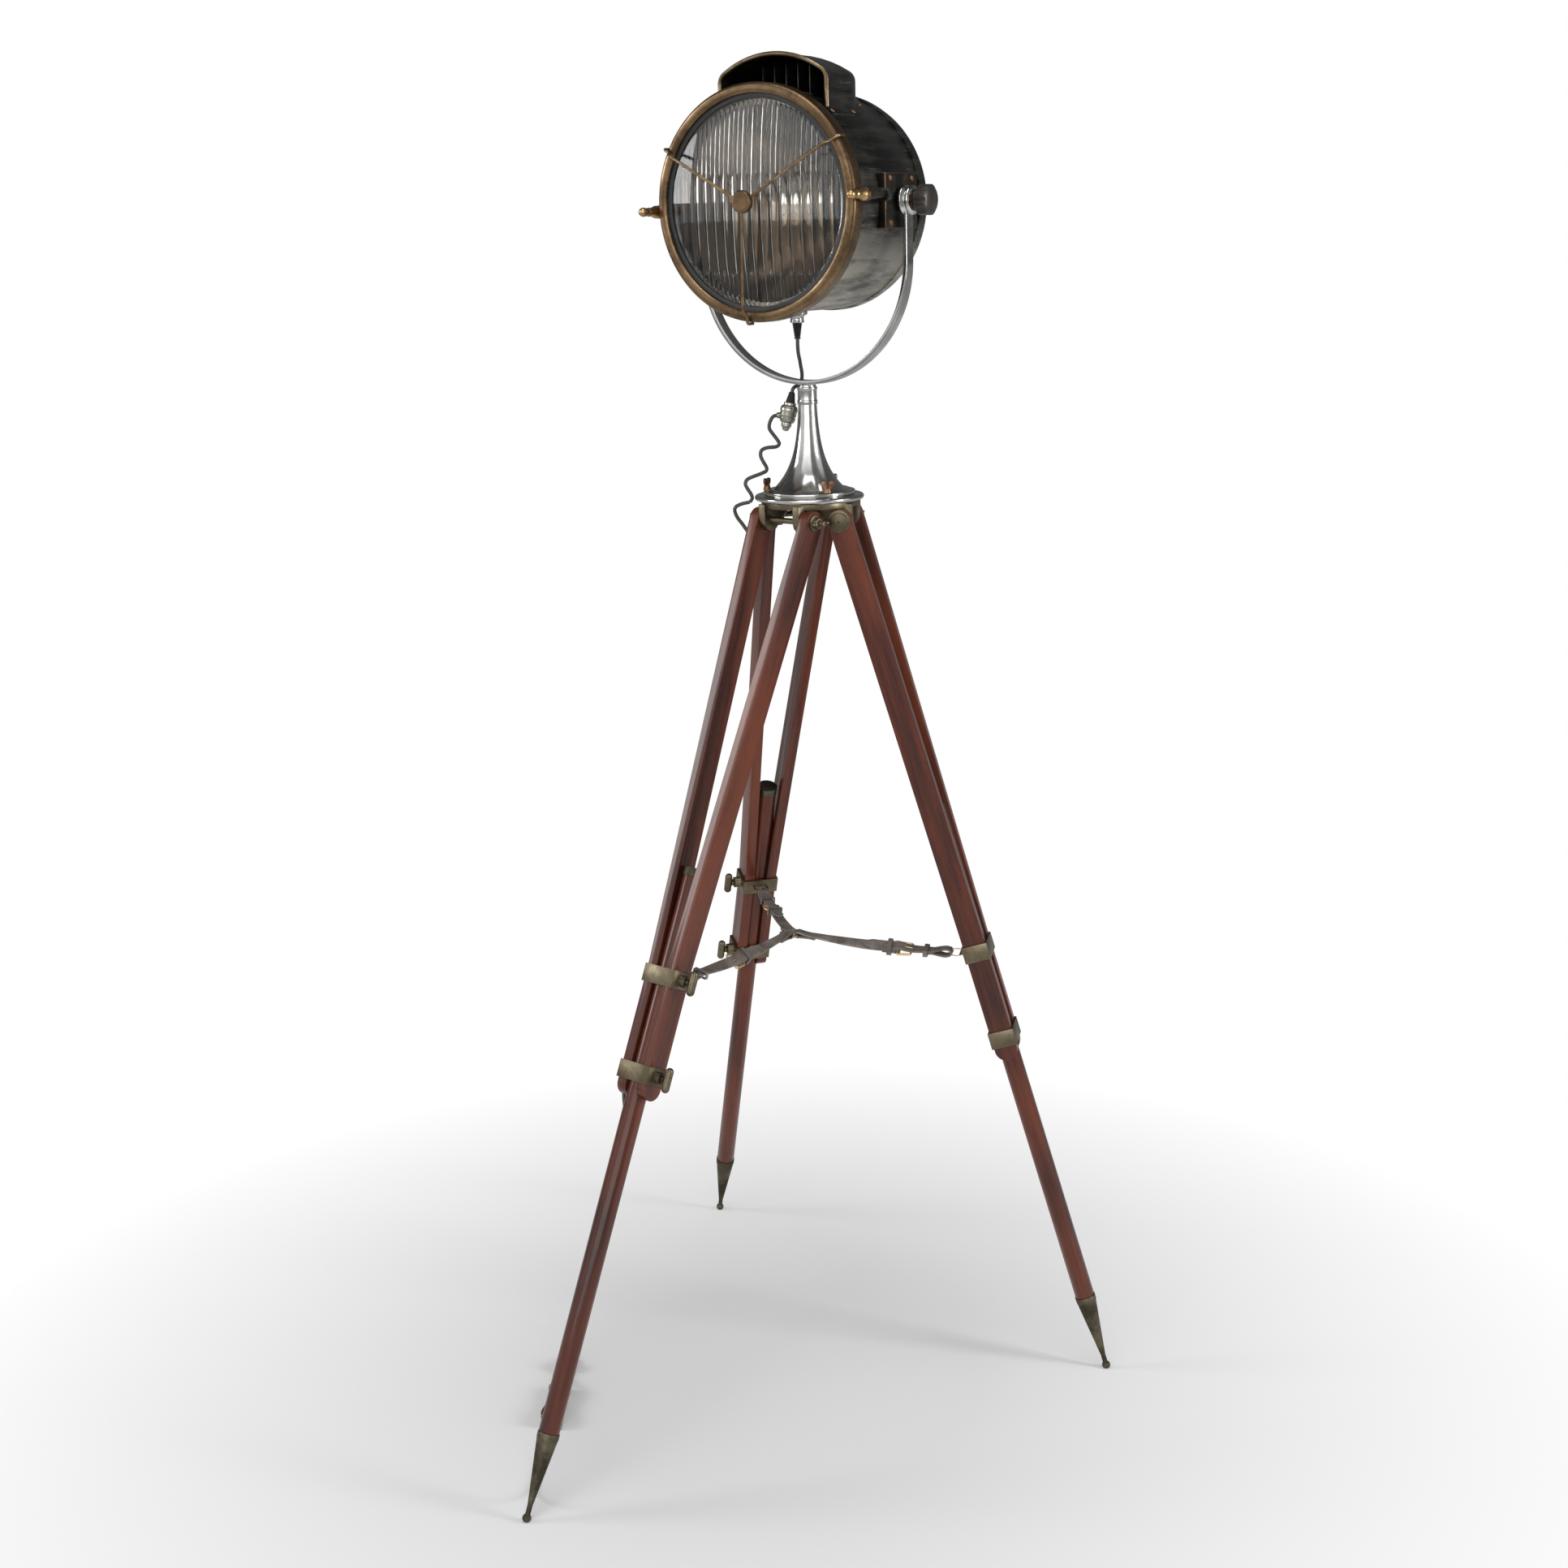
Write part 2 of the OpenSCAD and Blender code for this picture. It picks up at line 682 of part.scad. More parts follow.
// Half of the hood's outline, from the middle of the crown down to the drum
function half_hood(inset) = concat(
    [for (k = [0:6]) let (a = 90 - (90 - corner_angle) * k / 6)
        [(crown_r - inset) * cos(a), crown_centre + (crown_r - inset) * sin(a)]],
    [for (k = [1:6]) let (a = corner_angle * (1 - k / 6))
        [corner_x + (hood_corner - inset) * cos(a), corner_y + (hood_corner - inset) * sin(a)]],
    [[hood_half - inset, hood_foot]]);

function whole_hood(inset) = concat(
    half_hood(inset),
    [for (k = [len(half_hood(inset)) - 1:-1:1]) [-half_hood(inset)[k].x, half_hood(inset)[k].y]]);

// A solid of the hood's shape: straight from its mouth, and round at its back
module hood_form(inset, mouth) {
    translate([0, 0, round_start]) linear_extrude(mouth - round_start) polygon(whole_hood(inset));
    translate([0, 0, round_start]) rotate([-90, 0, 0])
        rotate_extrude(angle = 180) polygon(concat(half_hood(inset), [[0, hood_foot]]));
}

// The outline of the hood's foot, seen from above, drawn upwards as a prism
module hood_footprint(half) {
    rotate([-90, 0, 0]) linear_extrude(hood_top) union() {
        translate([-half, -mouth_front]) square([2 * half, mouth_front - round_start]);
        translate([0, -round_start]) intersection() {
            circle(half);
            translate([-half, 0]) square([2 * half, half]);
        }
    }
}

flange_sheet = 2;

module vent_hood() {
    seat = drum_r + 0.2;
    rim = 5;
    color("#25282a") on_head() union() {
        difference() {
            union() {
                hood_form(0, mouth_front);
                translate([0, 0, mouth_front - rim]) linear_extrude(rim) polygon(whole_hood(-1.5));
            }
            hood_form(hood_wall, mouth_front + 1);
            translate([0, 0, -2 * drum_r]) cylinder(r = seat, h = 4 * drum_r);
        }
        intersection() {
            difference() {
                hood_footprint(hood_half + hood_flange);
                hood_footprint(hood_half - 0.5);
            }
            // The flange ends in front of the rear cover's lip
            translate([0, 0, cover_lip - drum_rear + 0.4])
                ring(seat + flange_sheet, seat, 2 * drum_r);
        }
    }
    color("#25282a") on_head() hood_vanes(seat);
}

// Upright plates inside the hood, on a strip that lies on the drum at either end of its vent
module hood_vanes(seat) {
    pitch = 18;
    length = 56;
    for (k = [-2:2]) {
        edge = abs(k) * pitch + 0.6;
        foot = sqrt(seat * seat - edge * edge) + 0.2;
        top = crown_centre + sqrt(pow(crown_r - hood_wall, 2) - pow(norm([edge, round_start + 20]), 2));
        translate([k * pitch - 0.6, foot, -20]) cube([1.2, top - foot, length]);
    }
    intersection() {
        translate([-2 * pitch - 4, 0, -20]) cube([4 * pitch + 8, 2 * drum_r, length]);
        translate([0, 0, -drum_r]) ring(seat + 1.2, seat, 2 * drum_r);
        for (end = [-20, length - 24]) translate([-drum_r, 0, end]) cube([2 * drum_r, 2 * drum_r, 4]);
    }
}

module side_brackets() {
    seat = drum_r + 0.2;
    color("#3c3930") on_head() for (side = [-1, 1]) {
        difference() {
            translate([side * (bracket_face - 10), 0, 0])
                cube([20, 2 * bracket_half_height, 2 * bracket_half_width], center = true);
            translate([0, 0, -drum_r]) cylinder(r = seat, h = 2 * drum_r);
        }
        along_x(side, bracket_face - 1) cylinder(r = stud_r, h = stud_end - bracket_face + 1);
        along_x(side, yoke_boss_outer + slide) ring(stud_r + 9, stud_r - 0.01, 4);
    }
}

// Places of the screws in the hood's flange: across, and forwards of the tilt axis
flange_middle = hood_half + hood_flange / 2 + 0.5;
hood_screws = [[flange_middle, mouth_front - 6], [flange_middle, 13],
    [flange_middle * cos(35), round_start - flange_middle * sin(35)]];
bracket_screw = 28;

module head_screws() {
    on_drum = drum_r + 0.2 + flange_sheet + 0.02;
    color("#8c6f3f") on_head() {
        for (side = [-1, 1], p = hood_screws)
            translate([0, 0, p.y]) rotate([0, 0, -side * asin(p.x / on_drum)])
                rotate([-90, 0, 0]) translate([0, 0, on_drum]) dome(3.5, 2);
        for (side = [-1, 1], u = [-1, 1], v = [-1, 1])
            translate([0, u * bracket_screw, v * bracket_screw]) along_x(side, bracket_face) dome(4.5, 2.5);
    }
}

// ---------------------------------------------------------------- bezel bolts and nuts

module bezel_bolts() {
    color("#33302a") on_head() for (side = [0, 180])
        rotate([0, 0, bezel_turn + side]) translate([bolt_circle, 0, 0]) union() {
            translate([0, 0, lug_front - 12]) cylinder(r = bolt_d / 2, h = nut_back + thumb_nut_length - nut_tip_r - lug_front + 12);
            translate([0, 0, lug_front - 12]) cylinder(r = 4.5, h = 3.8);
            translate([0, 0, lug_front + 0.1]) cylinder(r1 = 4, r2 = 7.5, h = bezel_lug - 0.2 - lug_front);
        }
}

// An acorn-shaped nut: a cup, a waist and a ball
module bezel_thumb_nut(side) {
    cup = 13;
    waist = 21;
    waist_r = 4.5;
    ball_at = thumb_nut_length - nut_tip_r;
    color("#b08040") on_head() rotate([0, 0, bezel_turn + side]) translate([bolt_circle, 0, nut_back])
        difference() {
            union() {
                cylinder(r = nut_cup_r, h = 4);
                translate([0, 0, 4]) cylinder(r1 = nut_cup_r, r2 = nut_cup_r - 1, h = cup - 4);
                translate([0, 0, cup]) cylinder(r1 = nut_cup_r - 1, r2 = waist_r, h = waist - cup);
                translate([0, 0, waist]) cylinder(r1 = waist_r, r2 = waist_r + 0.5, h = ball_at - waist);
                translate([0, 0, ball_at]) sphere(nut_tip_r);
            }
            translate([0, 0, -10]) cylinder(r = bolt_d / 2 + fit, h = ball_at + 10.5);
        }
}

// ---------------------------------------------------------------- legs

module rail(side) {
    face = [[rail_gap_top / 2, rail_end_r + 1], [rail_gap_top / 2, -taper_start],
            [rail_gap / 2, -taper_end], [rail_gap / 2, -rail_length - 1],
            [outer_gap, -rail_length - 1], [outer_gap, -taper_end],
            [outer_gap_top, -taper_start], [outer_gap_top, rail_end_r + 1]];
    intersection() {
        rotate([90, 0, 90]) linear_extrude(rail_depth + 1, center = true)
            polygon([for (p = face) [side * p.x, p.y]]);
        rotate([90, 0, 0]) linear_extrude(2 * outer_gap_top + 2, center = true) union() {
            circle(rail_end_r);
            translate([-rail_end_r, -rail_length + rail_end_r])
                square([rail_depth, rail_length - rail_end_r]);
            translate([0, -rail_length + rail_end_r]) circle(rail_end_r);
        }
    }
}

module rails(i) {
    color("#6b2c1e") on_leg(i) difference() {
        union() {
            rail(-1);
            rail(1);
        }
        along_y(-outer_gap_top - 1) cylinder(r = axle_r + 0.08, h = 2 * outer_gap_top + 2);
        translate([0, 0, -rail_length - 1]) cylinder(r = groove_r, h = rail_length - groove_start + 1);
        for (s = [upper_band, lower_band]) translate([0, 0, -s]) along_y(0)
            cylinder(r = clamp_d / 2 + 0.6, h = outer_gap + 1);
    }
}

module band() {
    across = 2 * (outer_gap + band_wall);
    deep = rail_depth + 2 * band_wall;
    difference() {
        union() {
            cube([deep, across, band_height], center = true);
            along_y(across / 2 - 1) cylinder(r = boss_d / 2, h = boss_length + 1);
        }
        cube([rail_depth, 2 * outer_gap, band_height + 1], center = true);
        along_y(0) cylinder(r = clamp_d / 2 + fit, h = across);
    }
}

// A wire eye on the inner face of the upper band, for a strap
eye_out = 7;
eye_wire = 1.4;
eye_half = 10;

module strap_eye(wire) {
    face = rail_depth / 2 + band_wall;
    for (side = [-1, 1]) rod([-face + 0.5, side * eye_half, 0], [-face - eye_out, side * eye_half, 0], wire);
    rod([-face - eye_out, -eye_half, 0], [-face - eye_out, eye_half, 0], wire);
    for (side = [-1, 1]) translate([-face - eye_out, side * eye_half, 0]) sphere(wire);
}

// Clips that hold the lead on the outer face of the left leg's rail, at these distances down the leg
clip_spots = [130, 330, 530];
clip_across = -4;
lead_off = lead_d / 2 + 0.5;

module lead_clips() {
    for (s = clip_spots)
        translate([clip_across, -outer_gap_top, -taper_start]) rotate([taper_angle, 0, 0])
            translate([0, 0, -(s - taper_start)]) difference() {
                translate([-6, -lead_off - lead_d / 2 - 1.5, -5]) cube([12, lead_off + lead_d / 2 + 1.5, 10]);
                translate([0, -lead_off, -6]) cylinder(r = lead_d / 2 + fit, h = 12);
            }
}

module rail_fittings(i) {
    color("#6e6142") on_leg(i) {
        for (s = [upper_band, lower_band]) translate([0, 0, -s]) band();
        translate([0, 0, -upper_band]) strap_eye(eye_wire);
        if (i == 0) lead_clips();
    }
}

module clamp_screw(i, s) {
    shoulder = outer_gap + band_wall + boss_length + slide;
    bar_at = shoulder + 9;
    color("#6e6142") on_leg(i) translate([0, 0, -s]) union() {
        along_y(pole_r + 0.4) cylinder(r = clamp_d / 2, h = bar_at - pole_r);
        along_y(shoulder) cylinder(r = clamp_d / 2 + 1.7, h = 4);
        for (side = [-1, 1]) rod([0, bar_at, 0],
            [0, bar_at, side * (clamp_bar_length - clamp_bar_d) / 2], clamp_bar_d / 2);
        for (side = [-1, 1]) translate([0, bar_at, side * (clamp_bar_length - clamp_bar_d) / 2])
            sphere(clamp_bar_d / 2);
    }
}

module pole(i) {
    color("#6b2c1e") on_leg(i) translate([0, 0, -pole_top[i] - pole_length])
        cylinder(r = pole_r, h = pole_length);
}

module ferrules(i) {
    cone = foot_length - tip_d - 5;
    joint = pole_top[i] + pole_length;
    color("#5f553c") {
        on_leg(i) {
            // Cap on the pole's top
            translate([0, 0, -pole_top[i] - cap_length + 1.5]) difference() {
                cylinder(r = cap_r, h = cap_length);
                translate([0, 0, -1]) cylinder(r = pole_r + fit, h = cap_length - 0.5 + fit);
            }
            // Tapered foot
            translate([0, 0, -joint - fit]) rotate([180, 0, 0]) union() {
                cylinder(r = cap_r, h = 8);
                translate([0, 0, 8]) cylinder(r1 = cap_r - 0.4, r2 = ferrule_end_d / 2, h = cone - 8);
                translate([0, 0, cone - 1]) cylinder(r = ferrule_end_d / 2, h = foot_length - cone);
            }
        }
        // Ball tip with the flat that it stands on
        at_column() translate([foot_x[i], foot_y[i], 0]) difference() {
            translate([0, 0, tip_height]) sphere(tip_d / 2);
            translate([-tip_d, -tip_d, -tip_d]) cube([2 * tip_d, 2 * tip_d, tip_d]);
        }
    }
}

// ---------------------------------------------------------------- straps

// Middle of the wire triangle that the three straps meet at, from the column's axis
strap_ring = [-43, -4, hinge_height - upper_band * cos(spread[0]) - 22];
ring_half = 10;
ring_wire = 2;
buckle_share = [0.5, 0.66, 0.72];

// A point on a leg, from the column's axis: outwards, across and down the leg
function leg_point(i, p) = let (a = azimuth[i], f = spread[i], r = hinge_radius + p[0] * cos(f) + p[2] * sin(f))
    [r * cos(a) - p[1] * sin(a), r * sin(a) + p[1] * cos(a), hinge_height + p[0] * sin(f) - p[2] * cos(f)];

function eye_point(i) = leg_point(i, [-rail_depth / 2 - band_wall - eye_out, 0, upper_band]);
function unit(v) = v / norm(v);
function strap_way(i) = unit(eye_point(i) - strap_ring);
function strap_start(i) = strap_ring + strap_way(i) * (ring_half + 3.5);
function strap_end(i) = eye_point(i) - strap_way(i) * (eye_wire + 0.4);

// Axes of a strap: X along it from the ring to the eye, Z upwards
module on_strap(i, share) {
    d = strap_end(i) - strap_start(i);
    at_column() translate(strap_start(i) + d * share)
        rotate([0, -asin(d.z / norm(d)), atan2(d.y, d.x)]) children();
}

module strap(i) {
    long = norm(strap_end(i) - strap_start(i));
    color("#4a443d") difference() {
        on_strap(i, 0) union() {
            translate([0, -strap_width / 2, -strap_thickness / 2]) cube([long, strap_width, strap_thickness]);
            // The end that is turned back through the buckle
            translate([long * buckle_share[i] + 14, -strap_width / 2, strap_thickness / 2 - 0.01])
                cube([long * (1 - buckle_share[i]) - 20, strap_width, strap_thickness * 0.8]);
        }
        on_leg(i) translate([0, 0, -upper_band]) strap_eye(eye_wire + loose);
    }
}

module strap_hardware() {
    ring_side = ring_half * sqrt(3) + ring_wire;
    color("#9a7c45") {
        at_column() translate(strap_ring) for (k = [0:2]) rotate([0, 0, azimuth[k]])
            translate([ring_half, 0, 0]) along_y(-ring_side) cylinder(r = ring_wire, h = 2 * ring_side);
        for (i = [0:2]) on_strap(i, buckle_share[i]) difference() {
            translate([-10, -strap_width / 2 - 3.2, -strap_thickness / 2 - 1])
                cube([20, strap_width + 6.4, strap_thickness + 3.4]);
            translate([-11, -strap_width / 2 - 0.3, -strap_thickness])
                cube([22, strap_width + 0.6, strap_thickness * 1.5 + 0.3]);
            translate([-7, -strap_width / 2 - 0.3, 0]) cube([14, strap_width + 0.6, 20]);
        }
    }
}

// ---------------------------------------------------------------- switch, gland and leads

gland_front = 22;
gland_r = 14;
relief_length = 21;
gland_length = 15;

module cable_gland() {
    on_head() translate([0, 0, gland_front]) rotate([90, 0, 0]) difference() {
        union() {
            color("#c9cccd") difference() {
                union() {
                    translate([0, 0, drum_r - 3]) cylinder(r = gland_r, h = 8);
                    translate([0, 0, drum_r + 5]) cylinder(r = 9, h = gland_length - 5);
                }
                rotate([90, 0, 0]) translate([0, 0, -2 * gland_r])
                    cylinder(r = drum_r + 0.02, h = 4 * gland_r);
            }
            color("#1c1b1a") translate([0, 0, drum_r + gland_length]) cylinder(r1 = 7, r2 = 4, h = relief_length);
        }
        cylinder(r = lead_d / 2 + fit, h = drum_r + gland_length + 2);
    }
}

// The switch hangs beside the column on its leads. These heights are above the hinges.
switch_top = [-27, 4.5, 169];
switch_bottom = [-35, -3, 116];
switch_exit = [-44, -9, 138];

button_r = 7;
button_travel = 2.5;
body_end = 42;

module above_hinges() {
    at_column() translate([0, 0, hinge_height]) children();
}

module inline_switch() {
    middle = (switch_top + switch_bottom) / 2;
    above_hinges() {
        color("#1c1b1a") towards(switch_top, switch_bottom) cylinder(r1 = 3.6, r2 = 6.5, h = 15);
        color("#b7b4ab") difference() {
            union() {
                towards(switch_top, switch_bottom) union() {
                    translate([0, 0, 15]) cylinder(r = 8.5, h = 4);
                    translate([0, 0, 18]) cylinder(r = 11.3, h = body_end - 18);
                    translate([0, 0, 22]) cylinder(r = 12, h = 4);
                }
                rod(middle + [0, 0, -3], switch_exit, 4);
            }
            towards(switch_top, switch_bottom) translate([0, 0, body_end - 8])
                cylinder(r = button_r + fit, h = 10);
        }
    }
}

// The button is pressed up into the switch
module switch_button() {
    stem = 8 - button_travel - 0.5;
    color("#b7b4ab") above_hinges() towards(switch_top, switch_bottom) union() {
        translate([0, 0, body_end - stem]) cylinder(r = button_r, h = stem + 5);
        translate([0, 0, body_end + 5]) cylinder(r1 = button_r, r2 = 4, h = 6);
    }
}

// Routes of the leads, from the column's axis. These heights are above the hinges.
head_route = [
    [0, -22, 241.9], [0, -22, 232], [-1, -19, 222], [-4, -11, 213], [-9, -1, 205], [-13, 8, 197], [-16, 13, 188],
    [-19, 13.5, 181], [-22.5, 10.5, 177.5], [-25.5, 6.6, 175], [-26.5, 5, 172.4], [-26.98, 4.52, 169.12]
];
mains_route = [
    [-44.08, -9.06, 137.99], [-46.4, -10.8, 137.7], [-49.5, -13.4, 134.8], [-52, -16, 127], [-52, -16, 120],
    [-48, -14, 113], [-43, -12, 106], [-40, -11, 100], [-43, -14, 96], [-53, -21, 95], [-59, -26, 92],
    [-60, -28, 85], [-57, -27, 77], [-53, -25, 69], [-53, -25, 64], [-58, -30, 60.5], [-66, -37, 57],
    [-73, -43, 53], [-75, -45, 47], [-72, -44, 40], [-68, -42, 33], [-67, -41, 27], [-70, -43, 22],
    [-79, -49, 20], [-86, -54, 16], [-87, -55, 10], [-84, -53, 1], [-79, -50, -7], [-73, -48, -16],
    [-66, -48, -24], [-63, -50.95, -30.2], [-63, -51.93, -32.8]
];
// On the left leg: outwards, across and down the leg
down_leg = [
    [-3.3, -54.1, 34.7], [-3.5, -53.9, 38.6], [-4, -52.8, 60], [-4, -49.5, 130], [-4, -40.8, 330], [-4, -32, 530],
    [-4, -28.8, 597], [-4, -30.5, 626], [-4, -30.5, 650], [-4, -29.7, 700], [-4, -30.5, 757], [-4, -30.5, 781],
    [-5.2, -27.8, 802], [-7.7, -20.8, 822.5], [-10.7, -14.7, 845], [-11.9, -11.7, 870.5], [-13.1, -12.3, 950],
    [-14.7, -13, 1060], [-13.1, -12.4, 1160], [-12.7, -12.5, 1235.5], [-12.8, -12.6, 1262], [-12, -11.8, 1280],
    [-13.8, -13.9, 1309]
];
over_floor = [
    [-113, -565, 25], [-127, -551, 8], [-141, -527, 3], [-153, -505, 2.6], [-171, -472, 2.6], [-187, -440, 2.6],
    [-205, -413, 2.6], [-222, -387, 2.6]
];
leg_route = concat([for (p = down_leg) leg_point(0, p)], over_floor);
// Inside the lamp head: across, upwards and forwards from the middle of the tilt axis
inner_route = [
    [0, -19, -75], [0, -49, -74], [0, -79, -65], [0, -107, -40], [0, -121, -8], [0, -126, 15], [0, -135, 22],
    [0, -155, 22]
];
// The folded lead lies on the floor behind the left foot, and starts here
hank_origin = [-221, -386, 0];
hank_azimuth = 120.3;

// Tube along a route: rings of points, carried along the route without twist
function way(p, i) = unit(p[min(i + 1, len(p) - 1)] - p[max(i - 1, 0)]);
function square_to(v, w) = unit(v - (v * w) * w);
function normals(p) = [for (
    i = 0, n = square_to(abs(way(p, 0).z) < 0.9 ? [0, 0, 1] : [1, 0, 0], way(p, 0));
    i < len(p);
    i = i + 1, n = i < len(p) ? square_to(n, way(p, i)) : n) n];

module tube(p, d, sides) {
    n = normals(p);
    last = len(p) - 1;
    points = [for (i = [0:last], k = [0:sides - 1])
        let (a = 360 * k / sides, m = cross(way(p, i), n[i]))
        p[i] + d / 2 * (n[i] * cos(a) + m * sin(a))];
    walls = [for (i = [0:last - 1], k = [0:sides - 1], half = [0, 1])
        let (a = i * sides + k, b = i * sides + (k + 1) % sides)
        half == 0 ? [a, a + sides, b] : [b, a + sides, b + sides]];
    start = [for (k = [1:sides - 2]) [0, k, k + 1]];
    end = [for (k = [1:sides - 2]) [last * sides, last * sides + k + 1, last * sides + k]];
    polyhedron(concat(points, [p[0], p[last]]), concat(walls,
        [for (k = [0:sides - 1]) [len(points), k, (k + 1) % sides]],
        [for (k = [0:sides - 1]) [len(points) + 1, last * sides + (k + 1) % sides, last * sides + k]]));
}

lead_sides = 8;

module lead(route) {
    color("#1c1b1a") tube(route, lead_d, lead_sides);
}

// Folded lead: loops of two runs and two bends, drawn in at the tie, each loop on top of the one before
ring_count = 24;
hank_base = lead_d / 2 + 0.1;

function half_width(f) = hank_bend - (hank_bend - hank_waist) * pow(sin(180 * f), 2);
function climbed(f) = f * f * (3 - 2 * f);
function hank_point(q) = let (
        loop = floor(q / ring_count), part = floor((q % ring_count) / 6), f = (q % 6) / 6,
        z = hank_base + hank_step * (loop + (part < 2 ? 0 : part == 2 ? climbed(f) : 1)))
    part == 0 ? [hank_run * f, -half_width(f), z]
    : part == 1 ? [hank_run + hank_bend * cos(180 * f - 90), hank_bend * sin(180 * f - 90), z]
    : part == 2 ? [hank_run * (1 - f), half_width(f), z]
    : [hank_bend * cos(180 * f + 90), hank_bend * sin(180 * f + 90), z];

hank_last = hank_loops * ring_count + 5;
hank_top = hank_base + hank_step * hank_loops;
plug_at = hank_run + tail_run;
plug_up = 8;
hank_tail = [
    [hank_run, -hank_bend, hank_top], [hank_run + 10, -hank_bend + 1, hank_top - 1],
    [hank_run + 22, -hank_bend + 5, hank_top - 5], [hank_run + 32, -hank_bend + 9, hank_top - 9],
    [plug_at - 14, -2, plug_up + 1], [plug_at - 6, 0, plug_up], [plug_at, 0, plug_up]
];
hank_path = concat([[-16, -hank_bend, hank_base], [-8, -hank_bend, hank_base]],
    [for (q = [0:hank_last]) hank_point(q)], hank_tail);

// Least distance between one loop's surface and the next
hank_gap = min([for (i = [0:len(hank_path) - 1], j = [i + 8:1:len(hank_path) - 1])
    norm(hank_path[i] - hank_path[j])]) - lead_d;
echo(least_gap_of_the_folded_lead = hank_gap);

module at_hank() {
    at_column() translate(hank_origin) rotate([0, 0, hank_azimuth]) children();
}

module lead_hank() {
    color("#1c1b1a") at_hank() tube(hank_path, lead_d, 6);
}

// Plain two-pin plug, lying on the floor past the folded lead
module plug() {
    color("#1c1b1a") at_hank() translate([plug_at + 0.1, 0, plug_up]) union() {
        rotate([0, 90, 0]) cylinder(r1 = 4, r2 = 5.5, h = 12);
        translate([12, -11, -plug_up]) cube([22, 22, 2 * plug_up]);
        for (side = [-1, 1]) translate([34, side * 6.35 - 3.2, -0.75]) cube([17, 6.4, 1.5]);
    }
}

tripod_plate();
hinge_casting();
leg_axles();
column();
inline_switch();
switch_button();
plate_wing_screw(0);  // plate_wing_screw_1
plate_wing_screw(1);  // plate_wing_screw_2
plate_wing_screw(2);  // plate_wing_screw_3
axle_wing_nut(0);  // axle_wing_nut_left
axle_wing_nut(1);  // axle_wing_nut_right
axle_wing_nut(2);  // axle_wing_nut_back
yoke();
yoke_knob(-1);  // yoke_knob_left
yoke_knob(1);  // yoke_knob_right
drum();
rear_cover();
front_ring();
bezel();
gasket();
lens();
spoke_guard();
reflector();
bulb();
lampholder();
on_head() lead(inner_route);  // inner_lead
vent_hood();
head_screws();
side_brackets();
cable_gland();
bezel_bolts();
bezel_thumb_nut(180);  // bezel_thumb_nut_left
bezel_thumb_nut(0);  // bezel_thumb_nut_right
rails(0);  // left_rails
rails(1);  // right_rails
rails(2);  // back_rails
rail_fittings(0);  // left_rail_fittings
rail_fittings(1);  // right_rail_fittings
rail_fittings(2);  // back_rail_fittings
clamp_screw(0, upper_band);  // left_clamp_screw_upper
clamp_screw(0, lower_band);  // left_clamp_screw_lower
clamp_screw(1, upper_band);  // right_clamp_screw_upper
clamp_screw(1, lower_band);  // right_clamp_screw_lower
clamp_screw(2, upper_band);  // back_clamp_screw_upper
clamp_screw(2, lower_band);  // back_clamp_screw_lower
pole(0);  // left_pole
pole(1);  // right_pole
pole(2);  // back_pole
ferrules(0);  // left_ferrules
ferrules(1);  // right_ferrules
ferrules(2);  // back_ferrules
strap_hardware();
strap(0);  // left_strap
strap(1);  // right_strap
strap(2);  // back_strap
above_hinges() lead(head_route);  // head_lead
above_hinges() lead(mains_route);  // mains_lead
at_column() lead(leg_route);  // leg_lead
lead_hank();
plug();
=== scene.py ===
# Tripod spotlight floor lamp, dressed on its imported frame. Metres, +Z up, the lamp faces -Y.
import json
import math
import bpy
import bmesh
from mathutils import Matrix, Vector

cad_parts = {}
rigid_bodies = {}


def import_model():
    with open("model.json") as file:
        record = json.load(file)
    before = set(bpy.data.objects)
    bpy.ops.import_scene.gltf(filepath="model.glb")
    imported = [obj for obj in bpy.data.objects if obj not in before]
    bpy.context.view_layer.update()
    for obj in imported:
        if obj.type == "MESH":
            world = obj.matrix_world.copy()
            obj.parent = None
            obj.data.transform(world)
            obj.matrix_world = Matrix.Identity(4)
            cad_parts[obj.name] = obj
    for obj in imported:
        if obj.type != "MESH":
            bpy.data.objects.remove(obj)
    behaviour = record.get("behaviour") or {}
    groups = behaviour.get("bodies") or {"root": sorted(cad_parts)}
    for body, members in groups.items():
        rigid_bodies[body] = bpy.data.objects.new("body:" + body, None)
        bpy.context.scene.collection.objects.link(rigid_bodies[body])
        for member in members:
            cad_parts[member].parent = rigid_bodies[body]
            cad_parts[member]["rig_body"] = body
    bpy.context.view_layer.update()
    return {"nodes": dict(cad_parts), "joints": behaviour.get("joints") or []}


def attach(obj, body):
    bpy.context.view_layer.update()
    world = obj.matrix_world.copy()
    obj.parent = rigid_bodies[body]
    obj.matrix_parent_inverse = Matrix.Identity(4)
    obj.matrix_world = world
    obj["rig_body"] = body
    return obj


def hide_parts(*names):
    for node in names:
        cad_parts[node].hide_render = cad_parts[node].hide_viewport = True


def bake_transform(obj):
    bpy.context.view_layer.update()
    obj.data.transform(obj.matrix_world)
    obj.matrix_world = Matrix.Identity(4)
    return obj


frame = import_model()
scene = bpy.context.scene
joints = {joint["name"]: joint for joint in frame["joints"]}
print("frame loaded:", len(frame["nodes"]), "nodes")


# places, from the frame's joints
def axesAt(origin, x, y, z):
    return Matrix([(*vector, 0) for vector in (x, y, z)] + [(*origin, 1)]).transposed()


still = Matrix.Identity(4)
tiltPoint = Vector(joints["tilt"]["pos_m"])
columnPlace = Matrix.Translation((tiltPoint.x, tiltPoint.y, 0))
headPlace = axesAt(tiltPoint, (1, 0, 0), (0, 0, 1), (0, -1, 0))  # x right, y up, z forwards
legNames = ("left", "right", "back")


